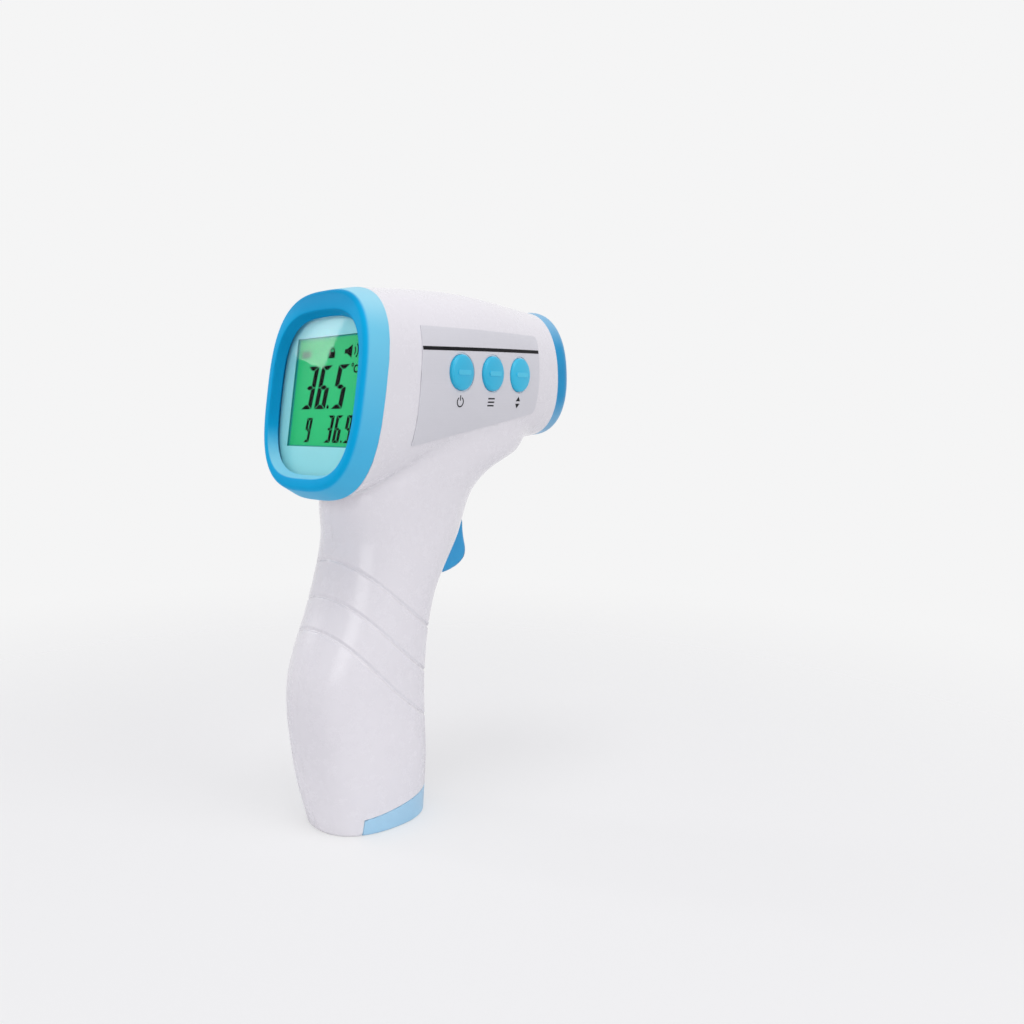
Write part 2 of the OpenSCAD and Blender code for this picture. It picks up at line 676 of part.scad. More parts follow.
// Nose group
function nose_ring_at(x, inset) = upright_ring(x, 0, 0, nose_h / 2 - inset, nose_w / 2 - inset, nose_power);
module nose_ring() color(blue) at_nose() difference() {
    moulded() difference() {
        union() {
            loft(concat(
                [nose_ring_at(0, 0)],
                [for (a = [90, 67.5, 45, 22.5, 0])
                    nose_ring_at(ring_len - ring_edge * (1 - cos(a)), ring_edge * (1 - sin(a)))]
            ));
            loft([nose_ring_at(-nose_skirt, skirt_in), nose_ring_at(0.5, skirt_in)]);
        }
        loft([nose_ring_at(-nose_skirt - 1, skirt_in + skirt_t), nose_ring_at(ring_plate, skirt_in + skirt_t)]);
    }
    along_x(port_r, ring_plate - 1, ring_len + 1);
    for (s = [-1, 1]) translate([0, 0, s * ear_z]) along_x(small_screw_r + fit_gap, 0, ring_plate + 2.4);
}
module sensor_holder() color(black) at_nose() difference() {
    union() {
        rotate([0, 90, 0]) rotate_extrude() polygon([
            [port_r - 0.6, ring_plate], [port_r + 2.6, ring_plate], [port_r + 2.6, ring_plate - 1.6],
            [can_r + 2.6, ring_plate - 1.6], [can_r + 2.6, holder_back], [can_r + 0.1, holder_back],
            [can_r + 0.1, can_front], [can_r - 1.5, can_front], [can_r - 1.5, can_front + 0.8]
        ]);
        for (s = [-1, 1]) translate([0, 0, s * ear_z]) along_x(2.6, ring_plate - 1.6, ring_plate);
        box([ring_plate - 1.6, -2.6, -ear_z], [ring_plate, 2.6, -port_r - 1]);
        box([ring_plate - 1.6, -2.6, port_r + 1], [ring_plate, 2.6, ear_z]);
    }
    for (s = [-1, 1]) translate([0, 0, s * ear_z]) along_x(small_screw_r + 0.15, -2, ring_plate + 1);
}
filter_r = 2.5;
module sensor_can() color(steel) at_nose() {
    difference() {
        union() {
            along_x(can_r - 0.4, can_front - can_len, can_front);
            along_x(can_r, can_front - can_len, can_front - can_len + 0.6);
        }
        along_x(filter_r + 0.05, can_front - 0.6, can_front + 1);
    }
    for (a = [45 : 90 : 315]) rotate([a, 0, 0]) translate([0, 2.5, 0])
        along_x(0.22, sensor_board_x - 0.6, can_front - can_len + 0.1);
}
module sensor_window() color([0.25, 0.22, 0.30]) at_nose() along_x(filter_r, can_front - 0.6, can_front - 0.1);
module sensor_board() color(board_green) at_nose() difference() {
    along_x(can_r + 2.6, sensor_board_x, holder_back);
    along_x(can_r - 0.6, sensor_board_x + 1, holder_back + 1);
    for (a = [45 : 90 : 315]) rotate([a, 0, 0]) translate([0, 2.5, 0]) along_x(0.3, sensor_board_x - 1, holder_back);
}
module sensor_screws() color(steel) at_nose() for (s = [-1, 1]) translate([ring_plate - 1.6, 0, s * ear_z])
    rotate([0, 0, 180]) pan_screw(small_screw_r, 1.6, 1.1, 3.6);

// Trigger group
// Front of the trigger: a hollow for the finger above a round tip
trigger_front = smooth_path([
    [-6, 0.8 - trigger_h], [-2.6, -trigger_h], [1.3, 0.9 - trigger_h], [trigger_reach - 2.4, 2.1 - trigger_h],
    [trigger_reach - 0.5, 3.9 - trigger_h], [trigger_reach, 6.4 - trigger_h], [trigger_reach - 0.7, 9.4 - trigger_h],
    [trigger_reach - 1.2, 12.4 - trigger_h], [5, -8], [4.3, -5.6]
], 3);
module trigger_profile() polygon(concat(
    [[-eye_r + 0.1, -0.6], [-7.5, -6], [-7.5, 2.6 - trigger_h]], trigger_front, [[0.8, -4], [0.8, -2.6]]
));
module trigger() color(blue) difference() {
    union() {
        at_pivot() rotate([90, 0, 0]) linear_extrude(trigger_w, center = true) trigger_profile();
        at_pivot() along_y(eye_r, -trigger_w / 2, trigger_w / 2);
        translate([0, 0, switch_z]) along_x(1.6, switch_face + plunger_out + run_gap, trigger_back + 1);
    }
    at_pivot() along_y(trigger_pin_r + fit_gap, -trigger_w, trigger_w);
    translate([0, 0, spring_z]) along_x(3, trigger_back - 1, trigger_back + 1.5);
}
module trigger_pin() color(steel) at_pivot() along_y(trigger_pin_r, -pin_half + 0.3, pin_half - 0.3);
module trigger_bracket() color([0.85, 0.86, 0.88]) {
    box([bracket_x, -bracket_half, bracket_bottom], [bracket_x + bracket_t, bracket_half, bracket_top]);
    translate([0, 0, spring_z]) along_x(1.5, bracket_x + bracket_t - 0.1, bracket_x + bracket_t + 3);
}
module switch_board() color(board_green)
    box([bracket_x + bracket_t, -6, switch_z - 5], [bracket_x + bracket_t + switch_board_t, 6, switch_z + 8]);
module switch_body(r, depth) difference() {
    box([0, -3, -3], [depth, 3, 3]);
    along_x(r + fit_gap, 0.8, depth + 1);
}
module trigger_switch() color(black) translate([bracket_x + bracket_t + switch_board_t, 0, switch_z])
    switch_body(plunger_r, switch_depth);
module trigger_plunger() color([0.8, 0.3, 0.2]) translate([0, 0, switch_z])
    along_x(plunger_r, switch_face - 1.9, switch_face + plunger_out);

// Springs: one unbroken tube along a helix about X
module coil(x0, x1, radius, wire, turns) {
    steps = turns * 10;
    loft([for (k = [0 : steps])
        let (a = 360 * turns * k / steps, x = x0 + wire + (x1 - x0 - 2 * wire) * k / steps)
        [for (b = [0 : 60 : 300])
            let (out = radius + wire * sin(b)) [x + wire * cos(b), out * cos(a), out * sin(a)]]]);
}
spring_wire = 0.28;
spring_turns = 7;
spring_x0 = bracket_x + bracket_t + 0.05;
spring_x1 = trigger_back + 1.45;
module trigger_spring() color(steel) translate([0, 0, spring_z])
    coil(spring_x0, spring_x1, 2.3, spring_wire, spring_turns);
echo(trigger_spring_gap = (spring_x1 - spring_x0 - 2 * spring_wire) / spring_turns - 2 * spring_wire);

// Button group
module button_cap(k) {
    rise = flank(row_x + k * pitch * cos(row_turn), row_z)
        - flank(row_x, row_z) + k * pitch * sin(row_turn);
    top = -rise - button_proud;
    seat = flange_y - rise;
    at_keys() translate([k * pitch, 0, 0]) {
        rotate([-90, 0, 0]) rotate_extrude() polygon([
            [0, top - 0.5], [button_r * 0.35, top - 0.44], [button_r * 0.65, top - 0.28], [button_r * 0.88, top - 0.05],
            [button_r, top + 0.4], [button_r, seat], [flange_r, seat], [flange_r, seat + flange_t],
            [2, seat + flange_t], [2, stem_y], [0, stem_y]
        ]);
    }
}
module rear_button() color(blue) button_cap(-1);
module middle_button() color(blue) button_cap(0);
module front_button() color(blue) button_cap(1);
module key_plunger(k) color([0.2, 0.2, 0.22]) at_keys() translate([k * pitch, 0, 0])
    along_y(plunger_r, stem_y, key_face + 1.2);
module rear_plunger() key_plunger(-1);
module middle_plunger() key_plunger(0);
module front_plunger() key_plunger(1);
module key_switches() color(black) at_keys() for (k = [-1, 0, 1])
    translate([k * pitch, key_board_y, 0]) rotate([0, 0, -90]) switch_body(plunger_r, key_depth);
module key_board() color(board_green) at_keys() difference() {
    box([-pitch - 6, key_board_y, -10], [pitch + 6, key_board_y + key_board_t, 10]);
    for (p = post_places) translate([p[0], 0, p[1]])
        along_y(small_screw_r + 0.15, key_board_y - 1, key_board_y + key_board_t + 1);
}

// Label on the right flank
label_x = nose_x - 10.9 - label_len;
module label_outline() {
    front = label_x + label_len;
    hull() {
        translate([label_x, row_z + label_up - 1]) square(1);
        translate([label_x - label_rake, row_z - label_down]) square(1);
        translate([front - label_corner, row_z + label_up - label_corner]) circle(label_corner);
        translate([front - label_corner, row_z - label_down_front + label_corner]) circle(label_corner);
    }
}
module side_label() color([0.86, 0.86, 0.88]) moulded() intersection() {
    difference() {
        outer_skin(label_t);
        outer_skin();
    }
    difference() {
        translate([0, -4, 0]) rotate([90, 0, 0]) linear_extrude(60) label_outline();
        at_keys() for (k = [-1, 0, 1]) translate([k * pitch, 0, 0]) along_y(button_r + 0.5, -6, 6);
    }
}

// Battery group
door_wall = 1.8;
contact_t = 0.4;
contact_z = shelf_z - run_gap - contact_t;
module battery_door() color(pale_blue) difference() {
    moulded() union() {
        difference() {
            intersection() {
                handle_solid(0, 0);
                under_slope(door_x + 0.2, 0);
            }
            intersection() {
                handle_solid(door_wall, 0);
                box([door_x + hinge_r + run_gap + door_wall, -40, door_wall], [60, 40, 20]);
            }
            // Clear of the ears, and square to the hinge beyond them
            for (s = [-1, 1]) box([door_x - 1, s > 0 ? knuckle_half : -40, -2],
                [door_x + hinge_r + run_gap, s > 0 ? 40 : -knuckle_half, 20]);
            box([door_x - 1, -knuckle_half - 1, 2 * hinge_r], [door_x + hinge_r + run_gap, knuckle_half + 1, 20]);
        }
        at_hinge() along_y(hinge_r, -knuckle_half, knuckle_half);
        // Seat of the contact
        for (s = [-1, 1]) box([cell_x - 3, s * cell_y - 3, door_wall - 0.1], [cell_x + 3, s * cell_y + 3, contact_z]);
        // Tongue that grips behind the front wall
        box([tongue_x, -tongue_half, door_wall - 0.1], [tongue_x + tongue_t, tongue_half, shelf_top + 0.4]);
    }
    at_hinge() along_y(door_pin_r + fit_gap, -knuckle_half - 1, knuckle_half + 1);
}
module door_pin() color(steel) at_hinge() along_y(door_pin_r, -ear_half, ear_half);
module door_contact() color(steel) {
    box([cell_x - 3, -cell_y - 3, contact_z], [cell_x + 3, cell_y + 3, contact_z + contact_t]);
    for (s = [-1, 1]) translate([cell_x, s * cell_y, contact_z + contact_t])
        cylinder(r1 = 2.4, r2 = 1.4, h = cell_bottom - shelf_z);
}
module battery_holder() color(black) difference() {
    translate([0, 0, shelf_top]) linear_extrude(holder_roof + roof_t - shelf_top) stadium(holder_r);
    for (s = [-1, 1]) translate([cell_x, s * cell_y, 0]) cylinder(r = holder_bore, h = holder_roof);
    // Holes for the contact tails
    for (s = [-1, 1]) translate([cell_x, s * cell_y, holder_roof - 1]) cylinder(r = 1, h = roof_t + 2);
}
cap_r = 1.9;
cap_t = 1;
module cell(flip) translate([cell_x, 0, cell_bottom]) {
    translate([0, 0, flip ? cap_t : 0]) cylinder(r = cell_r, h = cell_len - cap_t);
    translate([0, 0, flip ? 0 : cell_len - cap_t]) cylinder(r = cap_r, h = cap_t);
}
module left_battery() color([0.15, 0.35, 0.75]) translate([0, cell_y, 0]) cell(true);
module right_battery() color([0.15, 0.35, 0.75]) translate([0, -cell_y, 0]) cell(false);
battery_wire = 0.3;
battery_turns = 2;
cell_top = cell_bottom + cell_len;
module battery_spring() color(steel) {
    translate([cell_x, cell_y, 0]) rotate([0, -90, 0])
        coil(cell_top + 0.05, holder_roof - 0.4, 3, battery_wire, battery_turns);
    // Plate under the roof with its tail through the hole
    translate([cell_x, cell_y, holder_roof - 0.5]) cylinder(r = 4, h = 0.5);
    translate([cell_x, cell_y, holder_roof - 0.1]) cylinder(r = 0.7, h = roof_t + 0.6);
}
echo(battery_spring_gap = (holder_roof - 0.45 - cell_top - 2 * battery_wire) / battery_turns - 2 * battery_wire);
module battery_plate() color(steel) translate([cell_x, -cell_y, 0]) {
    translate([0, 0, cell_top + 0.05]) cylinder(r = 3.5, h = holder_roof - cell_top - 0.05);
    translate([0, 0, holder_roof - 0.1]) cylinder(r = 0.7, h = roof_t + 0.6);
}
module case_screws() color(steel) at_screws() translate([0, screw_seat, 0]) rotate([0, 0, 90])
    pan_screw(screw_r, screw_head_r, screw_head_t, screw_seat + screw_reach);

// Leads: round tubes through hand-chosen points
function unit(v) = v / norm(v);
module lead(points, r) {
    path = smooth_path(points, 3);
    steps = len(path) - 1;
    loft([for (k = [0 : steps])
        let (
            ahead = unit(path[min(k + 1, steps)] - path[max(k - 1, 0)]),
            side = unit(cross([0, 1, 0], ahead)),
            up = cross(ahead, side)
        )
        [for (b = [0 : 45 : 315]) path[k] + r * (cos(b) * side + sin(b) * up)]]);
}
lead_r = 0.6;
tail_z = holder_roof + roof_t + 0.6;
module battery_leads() {
    for (s = [-1, 1]) color(s < 0 ? [0.75, 0.1, 0.1] : black) lead([
        [cell_x, s * cell_y, tail_z + 0.1], [cell_x, s * cell_y, tail_z + 3], [1, s * 6.6, tail_z + 8],
        [1.5, s * 7, handle_h - 26],
        [1.5, s * 7.5, handle_h - 15], [-3, s * 8, handle_h - 5], display_point(board_back + 0.6, s * 8, -15)
    ], lead_r);
}
module sensor_lead() color([0.8, 0.8, 0.82]) lead([
    nose_point(sensor_board_x - 0.3, 0, -5), [nose_x - 20, 1, nose_z - 4], [row_x, 3, row_z - 3],
    [display_x + 18, 3, row_z - 4], display_point(board_back + 0.5, 2, -9)
], lead_r);
module key_lead() color([0.8, 0.8, 0.82]) lead([
    [row_x - pitch - 7.4, -flank(row_x, row_z) + key_board_y - 1.6, row_z - 2],
    [display_x + 10, -9, row_z - 3], display_point(board_back + 0.5, -11, 2)
], lead_r);
module trigger_lead() color([0.8, 0.8, 0.82]) lead([
    [bracket_x + bracket_t + 0.9, -3, switch_z + 8.3], [bracket_x + bracket_t, -3.5, pivot_z + 2.5],
    [1, -4, handle_h - 3],
    display_point(board_back + 0.6, -4, -13)
], lead_r);

right_shell();
left_shell();
lcd_bezel();
display_window();
lcd_holder();
lcd_panel();
backlight();
contact_strips();
main_board();
controller_chip();
buzzer();
board_screws();
nose_ring();
sensor_holder();
sensor_can();
sensor_window();
sensor_board();
sensor_screws();
trigger();
trigger_pin();
trigger_spring();
trigger_bracket();
switch_board();
trigger_switch();
trigger_plunger();
rear_button();
middle_button();
front_button();
rear_plunger();
middle_plunger();
front_plunger();
key_board();
key_switches();
side_label();
battery_door();
door_pin();
door_contact();
battery_holder();
left_battery();
right_battery();
battery_spring();
battery_plate();
case_screws();
battery_leads();
sensor_lead();
key_lead();
trigger_lead();
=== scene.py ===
"""Looks of a pistol-grip non-contact thermometer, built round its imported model."""
import math

import bmesh
import bpy
import numpy as np
from mathutils import Matrix, Vector


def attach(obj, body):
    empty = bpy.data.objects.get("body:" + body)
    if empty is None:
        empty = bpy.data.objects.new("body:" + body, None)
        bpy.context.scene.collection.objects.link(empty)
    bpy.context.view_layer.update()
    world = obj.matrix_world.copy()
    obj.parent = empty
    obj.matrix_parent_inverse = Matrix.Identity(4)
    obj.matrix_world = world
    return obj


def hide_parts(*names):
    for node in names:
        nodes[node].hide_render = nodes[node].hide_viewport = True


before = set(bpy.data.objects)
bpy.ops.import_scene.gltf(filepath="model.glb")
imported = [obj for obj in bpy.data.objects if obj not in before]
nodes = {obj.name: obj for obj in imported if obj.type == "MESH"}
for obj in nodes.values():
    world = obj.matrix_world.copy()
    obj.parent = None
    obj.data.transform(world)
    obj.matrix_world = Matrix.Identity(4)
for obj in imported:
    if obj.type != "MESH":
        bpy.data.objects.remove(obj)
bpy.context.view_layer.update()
scene = bpy.context.scene
MM = 0.001

# Handle of the housing: heights of its sections and, at each, depth, middle and width in mm
HANDLE_HEIGHTS = np.array([0.0, 18.0, 42.0, 64.0, 80.0, 92.0, 98.0, 104.0, 114.0])
HANDLE_DEPTHS = np.array([35.2, 39.4, 40.0, 35.0, 40.7, 47.2, 52.8, 64.0, 66.0])
HANDLE_MIDDLES = np.array([0.0, -2.0, -3.0, 2.7, 9.5, 12.2, 16.9, 24.6, 29.6])
HANDLE_WIDTHS = np.array([26.5, 31.0, 32.0, 32.0, 32.0, 32.0, 32.5, 33.0, 30.0])
HANDLE_POWER = 2.3
HANDLE_TOP = 114.0
FOOT_EDGE = 0.8

# Grip grooves: how many, width, depth, height of the lowest over the foot's middle, distance between two,
# and their fall and curve towards the front
GROOVES = 3
GROOVE_W = 0.9
GROOVE_T = 0.45
GROOVE_Z = 38.6
GROOVE_PITCH = 12.9
GROOVE_FALL = 0.84
GROOVE_CURVE = 0.012

# Barrel of the housing, from the display joint at 0 to the nose joint at 1
BARREL_PLACES = np.array([0.0, 0.5, 1.0])
BARREL_MIDDLES = np.array([119.4, 125.4, 126.1])
BARREL_HEIGHTS = np.array([55.8, 45.2, 37.8])
BARREL_WIDTHS = np.array([46.2, 40.4, 27.8])
BARREL_X = -11.0
BARREL_LEN = 76.0
DISPLAY_LEAN = 9.2
NOSE_LEAN = 4.8
HEAD_POWER = 2.9
NOSE_POWER = 2.3

# Shoulder between handle and barrel: reach of its blend in mm, and where along the barrel it comes and goes
SHOULDER_BLEND = 2.2
BLEND_COMES = (0.01, 0.12)
BLEND_GOES = (0.95, 1.0)

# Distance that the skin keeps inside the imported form, in mm
SKIN_IN = 0.006

# Display, in mm from its joint into the body
BEZEL_DEPTH = 6.2
BEZEL_EDGE = 1.4
BEZEL_DRAFT = 1.7
WINDOW_W = 35.0
WINDOW_H = 41.4
WINDOW_DROP = 1.0
WINDOW_POWER = 3.2
WINDOW_FRONT = -3.6
WINDOW_BACK = -2.4
WINDOW_LAP = 1.35
LIP_FLARE = 1.0
HOLDER_FRONT = -2.2
LCD_FRONT = -1.6
LCD_W = 28.0
LCD_H = 29.0
LCD_UP = 0.5
SKIRT_IN = 2.15
SKIRT_LEN = 1.6
SKIRT_T = 1.4

# Nose ring, in mm from its joint
RING_LEN = 7.3
RING_EDGE = 4.6
RING_PLATE = 3.0
NOSE_SKIRT = 3.0
PORT_R = 6.5

# Button row and label, in mm
ROW_PLACE = Vector((30.1, -19.8022, 125.0))
ROW_TURN = math.radians(7.51159)
ROW_PITCH = 13.4
BUTTON_R = 4.7
LABEL_T = 0.25
LABEL_GRID = 1.7
LABEL_LIFT = 0.02


# Form of the housing

def through(places, values, x):
    """Smooth curve through the values at the places."""
    i = np.clip(np.searchsorted(places, x, "right") - 1, 0, len(places) - 2)
    before = np.maximum(np.arange(len(places)) - 1, 0)
    after = np.minimum(np.arange(len(places)) + 1, len(places) - 1)
    slopes = (values[after] - values[before]) / (places[after] - places[before])
    span = places[i + 1] - places[i]
    s = np.clip((x - places[i]) / span, 0, 1)
    rise = (2 * s**3 - 3 * s**2 + 1) * values[i] + (3 * s**2 - 2 * s**3) * values[i + 1]
    return rise + span * ((s**3 - 2 * s**2 + s) * slopes[i] + (s**3 - s**2) * slopes[i + 1])


def oval_gap(a, b, half_a, half_b, power):
    """Distance of points from a superellipse, along the line to its centre."""
    share = (np.abs(a / half_a) ** power + np.abs(b / half_b) ** power) ** (1 / power)
    share = np.maximum(share, 1e-6)
    return np.hypot(a, b) * (1 - 1 / share)


def step_between(low, high, x):
    """Smooth step from 0 at low to 1 at high."""
    s = np.clip((x - low) / (high - low), 0, 1)
    return s * s * (3 - 2 * s)


def barrel_station(x, z):
    """Place along the barrel of the leaning section that holds each point."""
    t = (x - BARREL_X) / BARREL_LEN
    for _ in range(4):
        lean = np.radians(DISPLAY_LEAN - (DISPLAY_LEAN + NOSE_LEAN) * t)
        off_x = x - BARREL_X - BARREL_LEN * t
        off_z = z - through(BARREL_PLACES, BARREL_MIDDLES, t)
        t = t + (off_x * np.cos(lean) - off_z * np.sin(lean)) / BARREL_LEN
    return t, off_x * np.sin(lean) + off_z * np.cos(lean)


def form_gap(p, blend):
    """Distance of points in mm outside the plain form of the housing, its shoulder filled by a blend."""
    x, y, z = p[:, 0], p[:, 1], p[:, 2]
    handle = oval_gap(
        x - through(HANDLE_HEIGHTS, HANDLE_MIDDLES, z), y,
        through(HANDLE_HEIGHTS, HANDLE_DEPTHS, z) / 2, through(HANDLE_HEIGHTS, HANDLE_WIDTHS, z) / 2,
        HANDLE_POWER)
    handle = np.maximum(handle, z - HANDLE_TOP)
    t, up = barrel_station(x, z)
    barrel = oval_gap(
        up, y, through(BARREL_PLACES, BARREL_HEIGHTS, t) / 2, through(BARREL_PLACES, BARREL_WIDTHS, t) / 2,
        HEAD_POWER - (HEAD_POWER - NOSE_POWER) * np.clip(t, 0, 1))
    reach = 1e-3 + blend * step_between(*BLEND_COMES, t) * (1 - step_between(*BLEND_GOES, t))
    share = np.clip(0.5 + (barrel - handle) / (2 * reach), 0, 1)
    body = barrel + (handle - barrel) * share - reach * share * (1 - share)
    # The flat foot meets the sides in a round edge
    side, under = body + FOOT_EDGE, FOOT_EDGE - z
    round_edge = np.hypot(np.maximum(side, 0), np.maximum(under, 0))
    return np.minimum(np.maximum(side, under), 0) + round_edge - FOOT_EDGE


def groove_distance(p):
    """Distance of points, seen from the side, from the middle line of the nearest grip groove."""
    x, z = p[:, 0], p[:, 2]
    off = z - GROOVE_Z - x * (GROOVE_CURVE * x - GROOVE_FALL)
    nearest = np.clip(np.round(off / GROOVE_PITCH), 0, GROOVES - 1)
    return np.abs(off - nearest * GROOVE_PITCH) / np.hypot(1, 2 * GROOVE_CURVE * x - GROOVE_FALL)


def skin_gap(p):
    """Distance of points in mm outside the housing's skin, with its blended shoulder and its grooves."""
    groove = 1 - np.clip(groove_distance(p) / (0.75 * GROOVE_W), 0, 1) ** 2
    return form_gap(p, SHOULDER_BLEND) + GROOVE_T * groove**2 + SKIN_IN


def skin_slope(p):
    """Unit normals of the housing's skin, and the rate of change along them."""
    near = 0.02
    slope = np.empty_like(p)
    for axis in range(3):
        shift = np.zeros(3)
        shift[axis] = near
        slope[:, axis] = (skin_gap(p + shift) - skin_gap(p - shift)) / (2 * near)
    rate = np.linalg.norm(slope, axis=1, keepdims=True)
    return slope / np.maximum(rate, 1e-9), rate[:, 0]


def drawn_to_skin(p, lift):
    """Points moved along the skin's normals until they lie lift mm above it."""
    for _ in range(5):
        normal, rate = skin_slope(p)
        p = p - normal * ((skin_gap(p) - lift) / rate)[:, None]
    return p


# Meshes

def new_piece(name, mesh, body, slot, finish, *stands_for):
    """A finished mesh as a piece that rides on a body."""
    piece = bpy.data.objects.new(name, mesh)
    scene.collection.objects.link(piece)
    mesh.materials.clear()
    mesh.materials.append(finish)
    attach(piece, body)
    if stands_for:
        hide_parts(*stands_for)


def mesh_from(bm, name, sharp=30):
    """The mesh of a bmesh, smooth except at edges sharper than an angle."""
    mesh = bpy.data.meshes.new(name)
    bm.to_mesh(mesh)
    bm.free()
    mesh.polygons.foreach_set("use_smooth", [True] * len(mesh.polygons))
    mesh.set_sharp_from_angle(angle=math.radians(sharp))
    return mesh


def merged(bm, reach=0.002):
    """Joins the vertices of a bmesh that lie within reach, in mm."""
    bmesh.ops.remove_doubles(bm, verts=bm.verts[:], dist=reach * MM)


def extruded(bm, faces):
    """The new vertices of faces that are extruded and not yet moved."""
    grown = bmesh.ops.extrude_face_region(bm, geom=faces)["geom"]
    return [g for g in grown if isinstance(g, bmesh.types.BMVert)]


def copy_of(node):
    """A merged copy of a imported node's mesh."""
    bm = bmesh.new()
    bm.from_mesh(nodes[node].data)
    merged(bm)
    return bm


def places_of(bm):
    """Places of a bmesh's vertices in mm, with the vertices numbered."""
    bm.verts.index_update()
    bm.verts.ensure_lookup_table()
    return np.array([v.co for v in bm.verts]) / MM


def moved(bm, p):
    """Puts a bmesh's vertices at new places in mm."""
    for v, place in zip(bm.verts, p):
        v.co = Vector(place) * MM
    bm.normal_update()


def lofted(rings, closed):
    """A bmesh through rings of points in mm; closed joins the last to the first."""
    bm = bmesh.new()
    number = bm.verts.layers.int.new("number")
    first = bmesh.ops.create_circle(bm, segments=len(rings[0]), radius=1)["verts"]
    for k, v in enumerate(first):
        v[number] = k
        v.co = Vector(rings[0][k]) * MM
    edges = bm.edges[:]
    for ring in rings[1:]:
        grown = bmesh.ops.extrude_edge_only(bm, edges=edges)["geom"]
        new = {g for g in grown if isinstance(g, bmesh.types.BMVert)}
        for v in new:
            v.co = Vector(ring[v[number]]) * MM
        edges = [g for g in grown if isinstance(g, bmesh.types.BMEdge) and set(g.verts) <= new]
    if closed:
        merged(bm)
    else:
        bmesh.ops.holes_fill(bm, edges=bm.edges[:])
    bmesh.ops.recalc_face_normals(bm, faces=bm.faces[:])
    return bm


def frame_at(place, lean):
    """Frame whose X leans up or down in the XZ plane; lean is about +Y in degrees."""
    return Matrix.Translation(Vector(place)) @ Matrix.Rotation(math.radians(lean), 4, "Y")


AT_DISPLAY = frame_at((BARREL_X, 0, BARREL_MIDDLES[0]), DISPLAY_LEAN)
AT_NOSE = frame_at((BARREL_X + BARREL_LEN, 0, BARREL_MIDDLES[2]), -NOSE_LEAN)
AT_KEYS = Matrix.Translation(ROW_PLACE) @ Matrix.Rotation(ROW_TURN, 4, "Z")


def oval_ring(frame_here, x, up, half_h, half_w, power, points=144):
    """Ring of points on a superellipse in the plane x of a frame."""
    ring = []
    for k in range(points):
        a = 2 * math.pi * k / points
        c, s = math.cos(a), math.sin(a)
        ring.append(frame_here @ Vector((
            x, -math.copysign(half_w * abs(s) ** (2 / power), s),
            up + math.copysign(half_h * abs(c) ** (2 / power), c))))
    return ring


# Housing: one smooth solid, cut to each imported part

# Rings of its two forms, and how far past both mouths the barrel and its skin run, as shares of its length
HANDLE_RINGS = 60
BARREL_RINGS = 45
BARREL_PAST = 0.05
SKIN_PAST = 0.03
# Least share of a face's normal along the skin's normal
SKIN_FACING = 0.7
# Grid, reach of its finer parts, and distances for finding and moving the skin and the seam, in mm
GRID = 1.1
FINE_REACHES = (1.5, 1.1)
NECK_Z = 90.0
SKIN_NEAR = 2.5
SKIN_TOUCH = 0.06
SEAM_GAP = 0.04
SEAM_NEAR = 0.01
FORM_NEAR = 0.16
FORM_GROWTH = 1.2
FORM_MERGE = 0.005
# Frame whose X points up and whose Z points to the front
UPRIGHT = Matrix(((0, 0, 1, 0), (0, 1, 0, 0), (1, 0, 0, 0), (0, 0, 0, 1)))


def finished(piece):
    """A new mesh of an object with its modifiers applied; the object goes."""
    bpy.context.view_layer.update()
    made = bpy.data.meshes.new_from_object(piece.evaluated_get(bpy.context.evaluated_depsgraph_get()))
    bpy.data.objects.remove(piece)
    return made


def scratch_object(name, mesh):
    """An object that only lasts until it has been used."""
    piece = bpy.data.objects.new(name, mesh)
    scene.collection.objects.link(piece)
    return piece


def near_faces(bm, chosen):
    """Edges of the faces whose middles are chosen by a test on places in mm."""
    faces = bm.faces[:]
    middles = np.array([f.calc_center_median() for f in faces]) / MM
    return list({e for f, c in zip(faces, chosen(middles)) if c for e in f.edges})


